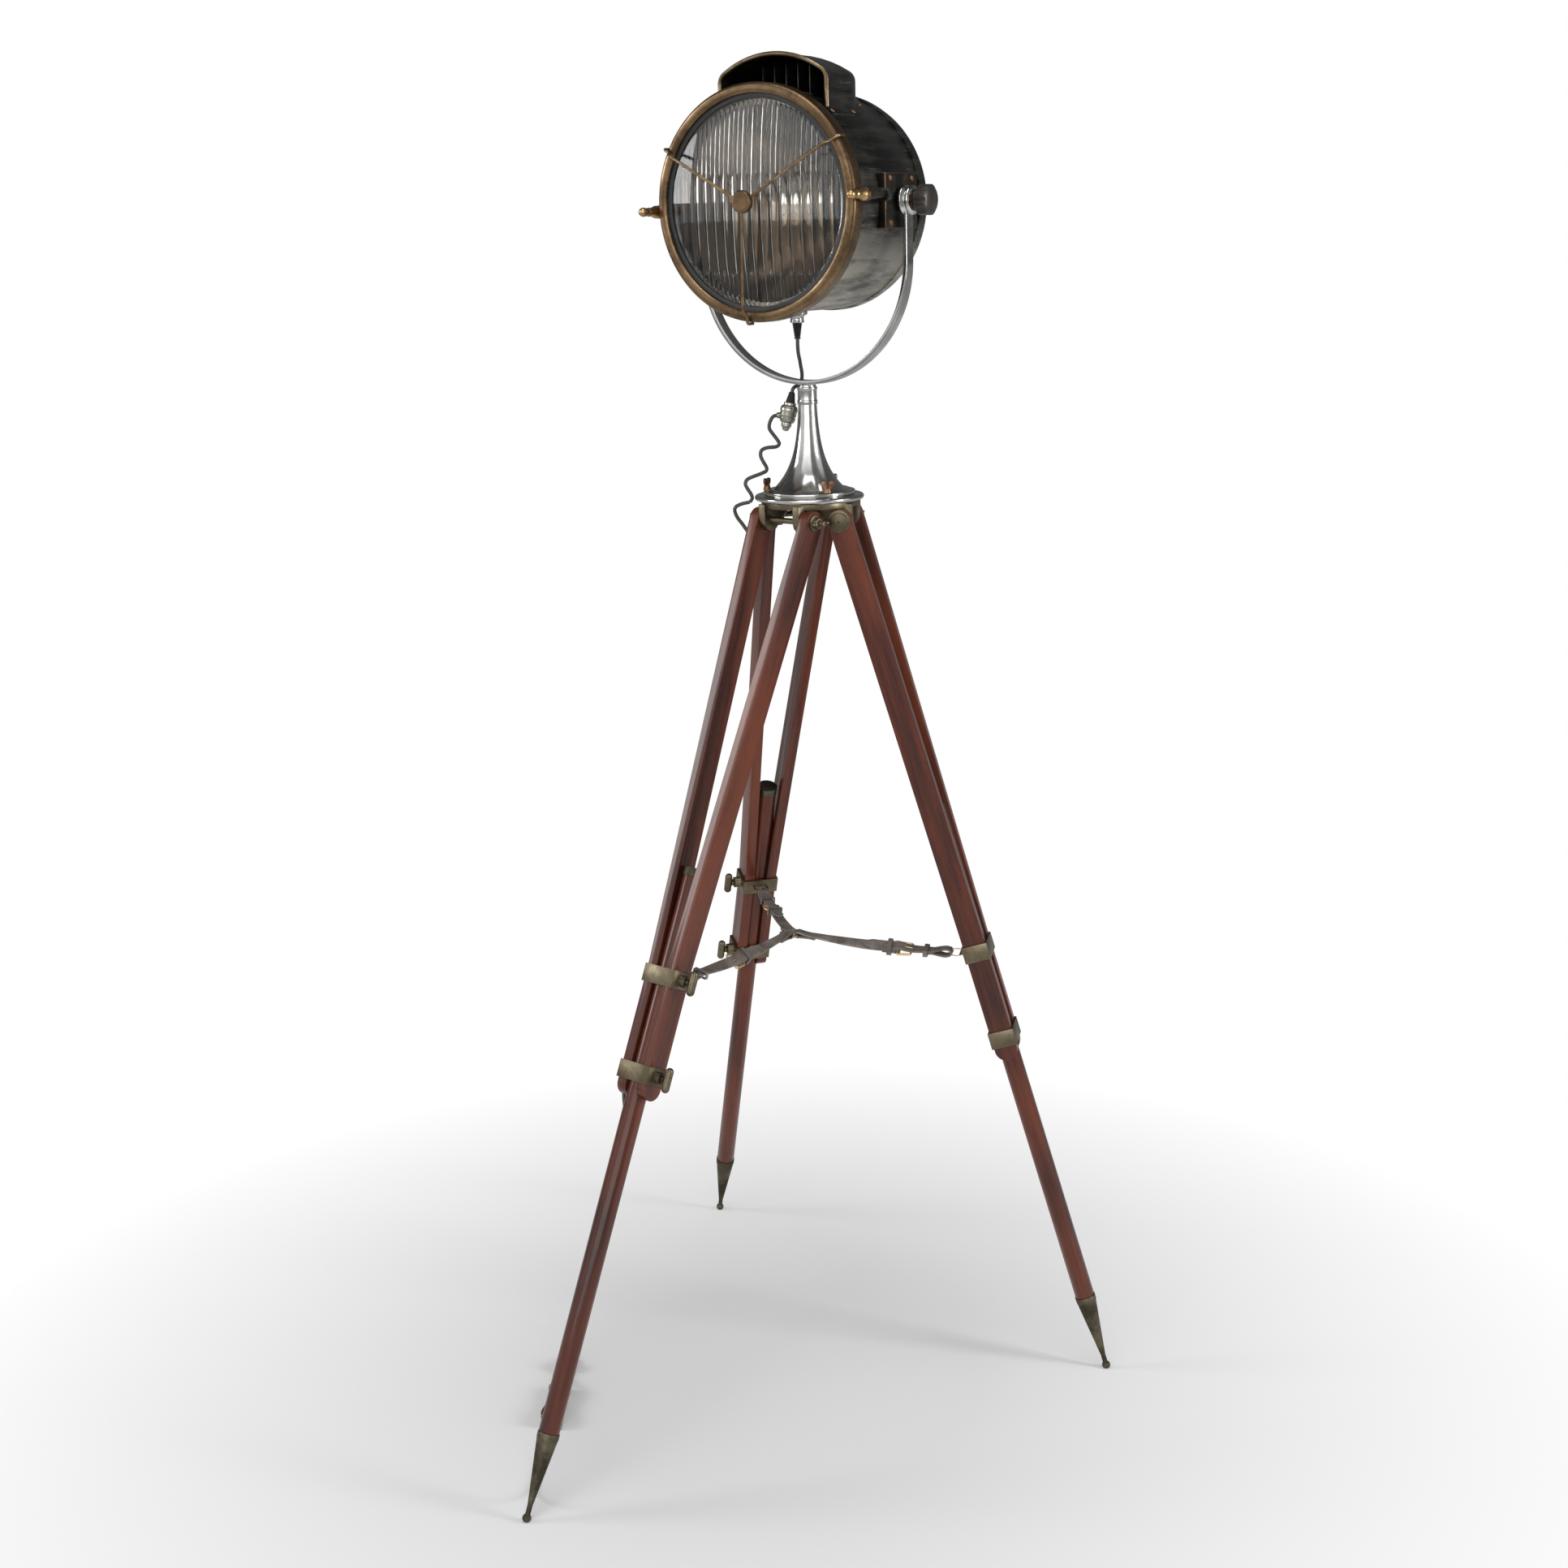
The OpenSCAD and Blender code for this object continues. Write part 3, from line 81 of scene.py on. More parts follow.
def legPlace(name):  # the leg runs down -z from its hinge, x faces outwards, y follows the axle
    axle = Vector(joints[name + "_leg_fold"]["axis"])
    upwards = -Vector(joints[name + "_pole_slide"]["axis"])
    return axesAt(Vector(joints[name + "_leg_fold"]["pos_m"]), axle.cross(upwards), axle, upwards)


def outwardsOf(name):  # level, from the column's axis to a leg's hinge
    hinge = columnPlace.inverted() @ Vector(joints[name + "_leg_fold"]["pos_m"])
    return Vector((hinge.x, hinge.y, 0)).normalized()


# lines and outlines
def polar(radius, degrees, height=0):
    turn = math.radians(degrees)
    return Vector((radius * math.cos(turn), radius * math.sin(turn), height))


def arc(centre, radius, start, end, parts=8):
    spots = [polar(radius, start + (end - start) * k / parts) for k in range(parts + 1)]
    return [(centre[0] + spot.x, centre[1] + spot.y) for spot in spots]


def smoothed(points, step):  # a Catmull-Rom curve through the points, as evenly spaced points
    points = [Vector(point) for point in points]
    ends = [2 * points[0] - points[1]] + points + [2 * points[-1] - points[-2]]
    curve = []
    for a, b, c, d in zip(ends, ends[1:], ends[2:], ends[3:]):
        parts = max(1, round((c - b).length / step))
        for k in range(parts):
            t = k / parts
            curve.append(0.5 * (2 * b + (c - a) * t + (2 * a - 5 * b + 4 * c - d) * t * t
                                + (3 * b - a - 3 * c + d) * t ** 3))
    return curve + [points[-1]]


def smoothedOutline(points):  # the same in two dimensions
    return [(p.x, p.y) for p in smoothed([(x, y, 0) for x, y in points], 0.0008)]


def softOutline(corners, radius, parts=4):  # rounds the corners of an open outline
    corners = [Vector(corner) for corner in corners]
    outline = [corners[0]]
    for before, corner, after in zip(corners, corners[1:], corners[2:]):
        inwards, outwards = before - corner, after - corner
        reach = min(radius, inwards.length * 0.49, outwards.length * 0.49)
        start = corner + inwards.normalized() * reach
        end = corner + outwards.normalized() * reach
        for k in range(parts + 1):
            t = k / parts
            outline.append((1 - t) ** 2 * start + 2 * t * (1 - t) * corner + t * t * end)
    return [tuple(point) for point in outline + [corners[-1]]]


def lengthOf(points):
    return sum((b - a).length for a, b in zip(points, points[1:]))


def headings(line):  # the direction of a line at each of its points
    last = len(line) - 1
    return [(line[min(k + 1, last)] - line[max(k - 1, 0)]).normalized() for k in range(last + 1)]


# camera, floor and light
cameraView = {
    "place": (1.6584, -2.6859, 1.6368),  # from the column's foot
    "right": (0.85016, 0.52607, -0.02166),
    "up": (-0.10398, 0.20807, 0.97257),
    "towards": (0.5255, -0.8508),  # the camera's side of the lamp, level
    "lens": 52.743,
    "sensor": 36,
    "shift": (-0.01117, -0.00571),
}


def makeCamera():
    right, up = Vector(cameraView["right"]), Vector(cameraView["up"])
    camera = bpy.data.objects.new("camera", bpy.data.cameras.new("camera"))
    camera.data.sensor_width = cameraView["sensor"]
    camera.data.lens = cameraView["lens"]
    camera.data.shift_x, camera.data.shift_y = cameraView["shift"]
    camera.matrix_world = axesAt(columnPlace @ Vector(cameraView["place"]), right, up, right.cross(up))
    scene.collection.objects.link(camera)
    scene.camera = camera


class Signal:  # a node's socket that does sums
    def __init__(self, tree, socket):
        self.tree, self.socket = tree, socket

    def __add__(self, other): return self.tree.sums("ADD", self, other)
    def __sub__(self, other): return self.tree.sums("SUBTRACT", self, other)
    def __rsub__(self, other): return self.tree.sums("SUBTRACT", other, self)
    def __mul__(self, other): return self.tree.sums("MULTIPLY", self, other)
    def __truediv__(self, other): return self.tree.sums("DIVIDE", self, other)
    def __pow__(self, other): return self.tree.sums("POWER", self, other)
    def __lt__(self, other): return self.tree.sums("LESS_THAN", self, other)


class Tree:  # a node tree that is written as sums
    def __init__(self, tree):
        self.tree = tree
        self.tree.nodes.clear()

    def feed(self, socket, value):
        if isinstance(value, Signal):
            self.tree.links.new(value.socket, socket)
        else:
            socket.default_value = (*value, 1) if socket.type == "RGBA" else value

    def add(self, kind, settings=None, sockets=None, out=0):
        node = self.tree.nodes.new(kind)
        for key, value in (settings or {}).items():
            setattr(node, key, value)
        for key, value in (sockets or {}).items():
            self.feed(node.inputs[key], value)
        return Signal(self, node.outputs[out])

    def split(self, vector):  # its x, y and z
        node = self.tree.nodes.new("ShaderNodeSeparateXYZ")
        self.feed(node.inputs[0], vector)
        return [Signal(self, socket) for socket in node.outputs]

    def sums(self, operation, a, b=0.0):
        return self.add("ShaderNodeMath", {"operation": operation}, {0: a, 1: b})

    def ramp(self, value, low, high):  # 0 below low, 1 above high
        return self.add("ShaderNodeMapRange", {"clamp": True}, {0: value, 1: low, 2: high})

    def ray(self, kind):
        return self.add("ShaderNodeLightPath", out=kind)


class Finish(Tree):
    def __init__(self, name, sockets):
        self.material = bpy.data.materials.new(name)
        self.material.use_nodes = True
        super().__init__(self.material.node_tree)
        self.skin = self.add("ShaderNodeBsdfPrincipled", None, sockets)
        self.surface = self.tree.nodes.new("ShaderNodeOutputMaterial").inputs[0]
        self.feed(self.surface, self.skin)

    def set(self, sockets):
        for key, value in sockets.items():
            self.feed(self.skin.socket.node.inputs[key], value)
        return self.material

    def mixed(self, share, other):  # another shader takes a share
        self.feed(self.surface, self.add("ShaderNodeMixShader", None, {0: share, 1: self.skin, 2: other}))
        return self.material

    def local(self, stretch=(1, 1, 1)):  # the piece's own coordinates, in metres
        place = self.add("ShaderNodeAttribute", {"attribute_name": "localPlace"}, out=1)
        return self.add("ShaderNodeMapping", None, {"Vector": place, "Scale": stretch})

    def noise(self, vector, scale, detail=4, roughness=0.6):
        return self.add("ShaderNodeTexNoise", None,
                        {"Vector": vector, "Scale": scale, "Detail": detail, "Roughness": roughness})

    def blend(self, share, a, b):
        return self.add("ShaderNodeMix", {"data_type": "RGBA"}, {0: share, 6: a, 7: b}, out=2)

    def bump(self, height, distance):
        return self.add("ShaderNodeBump", None, {"Height": height, "Distance": distance, "Strength": 1.0})


studio = {
    "floor": (0.93, 0.93, 0.93),
    "floorSize": 60,
    "whiteFrom": 0.3, "whiteAt": 1.3,  # this far from the column the camera sees a plain white floor
    "aim": (0, 0, 1.2),
    "lights": {  # place, size and power
        "windowLight": ((2.9, 0.6, 1.7), (0.6, 1.6), 34),
        "leftLight": ((-3.4, -2.0, 2.5), (1.2, 1.6), 44),
        "topLight": ((0.4, -0.6, 4.0), (1.6, 1.6), 30),
    },
    "dim": 0.14, "front": 0.20, "low": 0.35,  # the room's glow
    "windows": (  # strength, and edges: side (0 right, 1 towards the camera, 2 up), where dark, where full
        (0.55, ((0, 0.28, 0.16), (1, -0.05, 0.05), (2, -0.45, -0.35))),
        (0.75, ((0, 0.66, 0.74), (1, -0.12, -0.02), (2, -0.3, -0.2))),
        (1.7, ((0, 0.30, 0.20), (0, -0.64, -0.54), (1, 0.45, 0.55), (2, -0.38, -0.28))),
    ),
}


def makeFloor():
    bpy.ops.mesh.primitive_plane_add(size=studio["floorSize"], location=(0, 0, 0))
    floor = bpy.context.object
    floor.name = "floor"
    ground = Finish("floorPaper", {"Roughness": 0.7, "Base Color": studio["floor"]})
    position = ground.add("ShaderNodeTexCoord", out=3)
    apart = ground.add("ShaderNodeVectorMath", {"operation": "LENGTH"}, {0: position}, out=1)
    white = ground.add("ShaderNodeEmission", None, {"Color": (1, 1, 1), "Strength": 1.0})
    share = ground.ray("Is Camera Ray") * ground.ramp(apart, studio["whiteFrom"], studio["whiteAt"])
    floor.data.materials.append(ground.mixed(share, white))


def makeWorld():  # the camera sees plain white, also through the glass; mirrors see the room
    scene.world = bpy.data.worlds.new("studio")
    scene.world.use_nodes = True
    room = Tree(scene.world.node_tree)
    x, y, z = room.split(room.add("ShaderNodeTexCoord"))
    east, north = cameraView["towards"]
    towards = x * east + y * north
    sides = (x * -north + y * east, towards, z)
    ceiling = room.ramp(z, 0.95, 0.25)
    glow = ((room.ramp(towards, -0.15, 0.25) * studio["front"] + studio["dim"])
            * (ceiling * (1 - studio["low"]) + studio["low"]))
    for strength, edges in studio["windows"]:
        window = ceiling * strength
        for side, dark, full in edges:
            window = window * room.ramp(sides[side], dark, full)
        glow = glow + window
    through = room.ray("Is Transmission Ray") * (room.ray("Glossy Depth") < 0.5)  # not yet mirrored
    plain = room.sums("MAXIMUM", room.ray("Is Camera Ray"), through)
    background = room.add("ShaderNodeBackground", None,
                          {"Color": (1, 1, 1), "Strength": glow * (1 - plain) + plain})
    room.feed(room.tree.nodes.new("ShaderNodeOutputWorld").inputs[0], background)


def makeLights():
    for name, (place, size, power) in studio["lights"].items():
        lamp = bpy.data.lights.new(name, "AREA")
        lamp.shape = "RECTANGLE"
        lamp.size, lamp.size_y = size
        lamp.energy = power
        holder = bpy.data.objects.new(name, lamp)
        holder.location = place
        holder.rotation_euler = (Vector(studio["aim"]) - Vector(place)).to_track_quat("-Z", "Y").to_euler()
        scene.collection.objects.link(holder)
    scene.view_settings.view_transform = "Standard"


makeCamera()
makeFloor()
makeWorld()
makeLights()
print("camera, floor and light made")


# finishes
def metal(name, light, dark, worn, dull, scale):  # colours and roughness, where worn and where not
    finish = Finish(name, {"Metallic": 1.0})
    place = finish.local()
    stain = finish.noise(place, scale, 6, 0.62)
    fine = finish.noise(place, scale * 14, 3)
    rubbed = finish.ramp(stain * 0.8 + fine * 0.2, 0.42, 0.62)
    return finish.set({
        "Base Color": finish.blend(rubbed, dark, light),
        "Roughness": rubbed * (worn - dull) + (fine - 0.5) * 0.12 + dull,
        "Normal": finish.bump(stain * 0.6 + fine * 0.4, 0.00012),
    })


def chrome(name):
    finish = Finish(name, {"Metallic": 1.0})
    place = finish.local()
    smudge = finish.noise(place, 30, 5)
    pits = finish.ramp(finish.noise(place, 420, 2), 0.68, 0.76)
    return finish.set({
        "Base Color": finish.blend(finish.ramp(smudge, 0.35, 0.7), (0.47, 0.465, 0.45), (0.62, 0.62, 0.61)),
        "Roughness": finish.ramp(smudge, 0.4, 0.75) * 0.14 + pits * 0.2 + 0.09,
    })


def mahogany(name):
    finish = Finish(name, {"Coat Weight": 0.42, "Coat Roughness": 0.10, "Specular IOR Level": 0.25})
    bend = finish.noise(finish.local((3, 3, 0.8)), 3, 2)
    grain = finish.noise(finish.local((28, 28, 1.1)), 3.2, 7, 0.66)
    pores = finish.ramp(finish.noise(finish.local((320, 320, 9)), 3, 2), 0.60, 0.72)
    cloud = finish.noise(finish.local((5, 5, 1.6)), 2.4, 4)
    tone = finish.ramp(grain * 0.7 + bend * 0.3, 0.38, 0.64)
    wood = finish.blend(tone, (0.024, 0.0050, 0.0032), (0.128, 0.0245, 0.0090))
    wood = finish.blend(finish.ramp(cloud, 0.42, 0.72) * 0.55, wood, (0.185, 0.044, 0.016))
    return finish.set({
        "Base Color": finish.blend(pores * 0.55, wood, (0.014, 0.004, 0.003)),
        "Roughness": 0.42 - tone * 0.10,
        "Normal": finish.bump(grain * 0.5 - pores * 0.5, 0.00012),
    })


# Dark patina, streaks and scratches, with the floor's reflection painted on as a lighter underside.
def drumPatina(name):
    finish = Finish(name, {"Metallic": 0.85})
    streak = finish.noise(finish.local((0.9, 9, 1.0)), 7, 6, 0.62)  # runs across the drum, along x and z
    blotch = finish.noise(finish.local(), 14, 6, 0.64)
    scratch = finish.ramp(finish.noise(finish.local((5, 170, 5)), 3, 3), 0.64, 0.72)
    height = finish.split(finish.local())[1]
    paintedSheenStreaks = finish.noise(finish.local((7, 7, 1.6)), 6, 6, 0.68)  # streaks along the drum's axis, shaping the painted floor reflection
    low = finish.ramp(height + (paintedSheenStreaks - 0.5) * 0.16, -0.024, -0.085)  # painted reflection of the floor: lighter towards the underside
    # real wear, mixed with a little of the painted floor reflection underneath
    worn = finish.ramp(streak * 0.6 + blotch * 0.4 + low * 0.16, 0.46, 0.66)
    colour = finish.blend(worn, (0.020, 0.021, 0.020), (0.105, 0.102, 0.09))
    # painted floor reflection: a light grey laid over the underside in streaks
    colour = finish.blend(low * finish.ramp(paintedSheenStreaks, 0.34, 0.62), colour, (0.52, 0.49, 0.43))
    return finish.set({
        "Base Color": finish.blend(scratch * 0.5, colour, (0.30, 0.295, 0.27)),
        "Roughness": worn * 0.16 + scratch * 0.1 + 0.30,
        "Normal": finish.bump(blotch * 0.5 + streak * 0.5 - scratch * 0.3, 0.00018),
    })


def darkSteel(name):
    finish = Finish(name, {"Metallic": 0.7})
    rub = finish.noise(finish.local(), 40, 5)
    worn = finish.ramp(rub, 0.5, 0.72)
    return finish.set({
        "Base Color": finish.blend(worn, (0.014, 0.0135, 0.012), (0.060, 0.050, 0.032)),
        "Roughness": worn * 0.12 + 0.36,
        "Normal": finish.bump(rub, 0.00010),
    })


def leather(name):
    finish = Finish(name, {"Specular IOR Level": 0.5})
    place = finish.local()
    pebble = finish.add("ShaderNodeTexVoronoi", {"feature": "DISTANCE_TO_EDGE"},
                        {"Vector": place, "Scale": 900.0})
    crease = finish.noise(finish.local((30, 220, 220)), 1.4)
    rub = finish.ramp(finish.noise(place, 38, 3), 0.38, 0.66)
    return finish.set({
        "Base Color": finish.blend(rub, (0.115, 0.094, 0.080), (0.230, 0.200, 0.178)),
        "Roughness": 0.42 - rub * 0.12,
        "Normal": finish.bump(finish.ramp(pebble, 0.0, 0.12) * 0.5 + crease * 0.5, 0.00006),
    })


def flutedGlass(name):  # its shadow is that of a clear pane
    finish = Finish(name, {"Base Color": (0.97, 0.97, 0.955), "Transmission Weight": 1.0,
                           "Roughness": 0.015, "IOR": 1.47})
    clear = finish.add("ShaderNodeBsdfTransparent", None, {0: (0.86, 0.86, 0.85)})
    return finish.mixed(finish.ray("Is Shadow Ray"), clear)


def cloudy(name, colour, metallic, rough, scale=60, shades=(0.86, 1.0), swing=0.1, depth=0.00004):
    finish = Finish(name, {"Metallic": metallic})
    cloud = finish.noise(finish.local(), scale)
    dark, light = [tuple(shade * c for c in colour) for shade in shades]
    return finish.set({
        "Base Color": finish.blend(cloud, dark, light),
        "Roughness": (cloud - 0.5) * swing + rough,
        "Normal": finish.bump(cloud, depth),
    })


speckled = ((1.0, 2.1), 0.16, 0.00006)
looks = {  # slot, maker and the maker's values
    "chrome": ("chrome", chrome),
    "oldBrass": ("old_brass", metal, (0.215, 0.178, 0.118), (0.115, 0.094, 0.061), 0.34, 0.46, 22),
    "footBronze": ("old_brass", metal, (0.150, 0.130, 0.090), (0.060, 0.052, 0.036), 0.42, 0.58, 22),
    "bezelBrass": ("bezel_brass", metal, (0.270, 0.178, 0.098), (0.105, 0.066, 0.037), 0.27, 0.42, 16),
    "brightBrass": ("bright_brass", metal, (0.70, 0.47, 0.22), (0.34, 0.215, 0.10), 0.20, 0.38, 60),
    "copperBrass": ("bright_brass", metal, (0.31, 0.165, 0.092), (0.13, 0.066, 0.038), 0.32, 0.5, 70),
    "mahogany": ("mahogany", mahogany),
    # the drum's finish has the floor's reflection painted lighter on its underside
    "drumPatina": ("drum_black", drumPatina),
    "darkSteel": ("dark_steel", darkSteel),
    "blackRubber": ("black_rubber", cloudy, (0.012, 0.012, 0.012), 0.0, 0.55, 120, *speckled),
    "cordBlack": ("black_rubber", cloudy, (0.034, 0.032, 0.028), 0.0, 0.45, 300, *speckled),
    "knobBlack": ("knob_black", cloudy, (0.020, 0.016, 0.013), 0.0, 0.32, 50, *speckled),
    "wornNickel": ("nickel", metal, (0.66, 0.65, 0.60), (0.24, 0.22, 0.17), 0.16, 0.36, 60),
    "mirror": ("mirror", cloudy, (0.27, 0.225, 0.18), 1.0, 0.09),
    "rimBronze": ("old_brass", metal, (0.33, 0.25, 0.155), (0.14, 0.10, 0.06), 0.28, 0.44, 30),
    "guardBrass": ("bezel_brass", metal, (0.36, 0.25, 0.14), (0.15, 0.095, 0.05), 0.26, 0.42, 40),
    "ceramic": ("ceramic", cloudy, (0.80, 0.78, 0.72), 0.0, 0.28),
    "silveredBulb": ("bulb_glass", cloudy, (0.95, 0.93, 0.88), 1.0, 0.14),
    "buckleBrass": ("bright_brass", cloudy, (0.74, 0.52, 0.25), 0.75, 0.24),
    "flutedGlass": ("glass", flutedGlass),
    "leather": ("leather", leather),
    "thread": ("leather", cloudy, (0.10, 0.075, 0.05), 0.0, 0.7, 800),
}
finishes = {name: maker(name, *values) for name, (slot, maker, *values) in looks.items()}
print("finishes made:", len(finishes))


# making pieces
def newPiece(name, points, faces, edges=()):
    mesh = bpy.data.meshes.new(name)
    mesh.from_pydata([tuple(point) for point in points], edges, faces)
    mesh.validate()
    piece = bpy.data.objects.new(name, mesh)
    scene.collection.objects.link(piece)
    return piece


def tidyNormals(piece, merge=1e-6):
    work = bmesh.new()
    work.from_mesh(piece.data)
    bmesh.ops.remove_doubles(work, verts=work.verts, dist=merge)
    bmesh.ops.recalc_face_normals(work, faces=work.faces)
    work.to_mesh(piece.data)
    work.free()
    return piece


def skinned(name, rings, caps=True, closed=False, merge=1e-6):  # faces from each ring of points to the next
    size, count = len(rings[0]), len(rings)
    faces = []
    for ring in range(count if closed else count - 1):
        low, high = ring * size, (ring + 1) % count * size
        for k in range(size):
            after = (k + 1) % size
            faces.append((low + k, high + k, high + after, low + after))
    if caps:
        faces += [tuple(range(size)), tuple(range((count - 1) * size, count * size))]
    return tidyNormals(newPiece(name, [point for ring in rings for point in ring], faces), merge)


def lathe(name, outline, turns=96, closed=False):  # outline is (radius, height), turned about z
    rings = [[polar(radius, 360 * k / turns, height) for k in range(turns)] for radius, height in outline]
    return skinned(name, rings, False, closed)


def softEdges(piece, width, segments=2, corner=30, slot=-1):
    bevel = piece.modifiers.new("edges", "BEVEL")
    bevel.width, bevel.segments = width, segments
    bevel.limit_method, bevel.angle_limit = "ANGLE", math.radians(corner)
    bevel.material = slot
    return piece


def settle(piece, place=still, smooth=38):  # applies the modifiers, moves the mesh, keeps its own coordinates
    graph = bpy.context.evaluated_depsgraph_get()
    mesh = bpy.data.meshes.new_from_object(piece.evaluated_get(graph))
    piece.modifiers.clear()
    piece.data = mesh
    own = [component for vertex in mesh.vertices for component in vertex.co]
    mesh.transform(place)
    mesh.attributes.new("localPlace", "FLOAT_VECTOR", "POINT").data.foreach_set("vector", own)
    mesh.polygons.foreach_set("use_smooth", [True] * len(mesh.polygons))
    mesh.set_sharp_from_angle(angle=math.radians(smooth))
    return piece


def dressed(piece, finish, body=None, nodes=(), painted=False):
    if not painted:
        piece.data.materials.clear()
        piece.data.materials.append(finishes[finish])
    if body:
        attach(piece, body)
    if nodes:
        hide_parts(*nodes)
    return piece


def turned(name, outline, turns, place, smooth, finish, body, nodes=()):
    return dressed(settle(lathe(name, outline, turns), place, smooth), finish, body, nodes)


def rounded(node, place, finish, edge, segments=2, second=None):
    # a CAD node with its edges rounded, in the place's own coordinates; the edges may have a second finish
    source = frame["nodes"][node]
    work = bmesh.new()
    work.from_mesh(source.data)
    bmesh.ops.remove_doubles(work, verts=work.verts, dist=2e-6)
    bmesh.ops.dissolve_limit(work, angle_limit=math.radians(0.4), verts=work.verts, edges=work.edges)
    piece = newPiece(node + "_rounded", [], [])
    work.to_mesh(piece.data)
    work.free()
    piece.data.transform(place.inverted())
    if second:
        piece.data.materials.append(finishes[finish])
        piece.data.materials.append(finishes[second])
    settle(softEdges(piece, edge, segments, 32, 1 if second else -1), place)
    return dressed(piece, finish, source["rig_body"], [node], bool(second))


def joined(name, pieces):
    bpy.ops.object.select_all(action="DESELECT")
    for piece in pieces:
        piece.select_set(True)
    bpy.context.view_layer.objects.active = pieces[0]
    bpy.ops.object.join()
    pieces[0].name = name
    return pieces[0]


# geometry nodes
class Maker(Tree):
    def __init__(self, name, inputs):
        super().__init__(bpy.data.node_groups.new(name, "GeometryNodeTree"))
        face = self.tree.interface
        for key, kind in {"Geometry": "Geometry", **inputs, "Finish": "Material"}.items():
            face.new_socket(key, in_out="INPUT", socket_type="NodeSocket" + kind)
        face.new_socket("Geometry", in_out="OUTPUT", socket_type="NodeSocketGeometry")
        self.given = self.tree.nodes.new("NodeGroupInput")
        self.result = self.tree.nodes.new("NodeGroupOutput")

    def input(self, name):
        return Signal(self, self.given.outputs[name])

    def finish(self, geometry):
        real = self.add("GeometryNodeRealizeInstances", None, {0: geometry})
        coated = self.add("GeometryNodeSetMaterial", None, {0: real, "Material": self.input("Finish")})
        self.feed(self.result.inputs[0], coated)
        return self.tree


def makeWith(tree, piece, values):
    modifier = piece.modifiers.new(tree.name, "NODES")
    modifier.node_group = tree
    for item in tree.interface.items_tree:
        if item.item_type == "SOCKET" and item.in_out == "INPUT" and item.name in values:
            modifier[item.identifier] = values[item.name]
    return piece


def sweepTree():  # a round bar along a line of points
    maker = Maker("sweepAlongPoints", {"Thickness": "Float", "Sides": "Int"})
    curve = maker.add("GeometryNodeMeshToCurve", None, {0: maker.input("Geometry")})
    section = maker.add("GeometryNodeCurvePrimitiveCircle", {"mode": "RADIUS"},
                        {"Resolution": maker.input("Sides"), "Radius": maker.input("Thickness") * 0.5})
    return maker.finish(maker.add("GeometryNodeCurveToMesh", None,
                                  {"Curve": curve, "Profile Curve": section, "Fill Caps": True}))


def scatterTree():  # one object on every point, turned to face the point's own direction
    maker = Maker("onePerPoint", {"Model": "Object"})
    facing = maker.add("GeometryNodeInputNamedAttribute", {"data_type": "FLOAT_VECTOR"}, {"Name": "facing"})
    turn = maker.add("FunctionNodeAlignRotationToVector", {"axis": "Z"}, {"Vector": facing})
    model = maker.add("GeometryNodeObjectInfo", None, {"Object": maker.input("Model")}, out="Geometry")
    return maker.finish(maker.add("GeometryNodeInstanceOnPoints", None,
                                  {"Points": maker.input("Geometry"), "Instance": model, "Rotation": turn}))


def flareTree():  # the column's trumpet: its radius falls off with height
    maker = Maker("trumpetFlare", {"Height": "Float", "Neck": "Float", "Flare": "Float", "Fade": "Float"})
    grid = maker.add("GeometryNodeMeshGrid", None,
                     {"Size X": 1.0, "Size Y": 1.0, "Vertices X": 97, "Vertices Y": 72})
    across, along = maker.split(maker.add("GeometryNodeInputPosition"))[:2]
    angle = (across + 0.5) * (2 * math.pi)
    height = maker.input("Height") * ((along + 0.5) ** 1.3)
    fall = maker.sums("EXPONENT", height / maker.input("Fade") * -1)
    radius = maker.input("Neck") + maker.input("Flare") * fall
    x, y = radius * maker.sums("COSINE", angle), radius * maker.sums("SINE", angle)
    spot = maker.add("ShaderNodeCombineXYZ", None, {0: x, 1: y, 2: height})
    shaped = maker.add("GeometryNodeSetPosition", None, {0: grid, "Position": spot})
    return maker.finish(maker.add("GeometryNodeMergeByDistance", None, {0: shaped, "Distance": 0.00001}))


sweep, scatter, flare = sweepTree(), scatterTree(), flareTree()


def bar(name, points, thickness, finish, sides=12, loop=False):
    count = len(points)
    edges = [(k, k + 1) for k in range(count - 1)] + ([(count - 1, 0)] if loop else [])
    return makeWith(sweep, newPiece(name, points, [], edges),
                    {"Thickness": thickness, "Sides": sides, "Finish": finishes[finish]})


def onPoints(name, model, spots, finish):  # spots are (point, direction)
    piece = newPiece(name, [point for point, way in spots], [])
    piece.data.attributes.new("facing", "FLOAT_VECTOR", "POINT").data.foreach_set(
        "vector", [component for point, way in spots for component in way])
    return makeWith(scatter, piece, {"Model": model, "Finish": finishes[finish]})


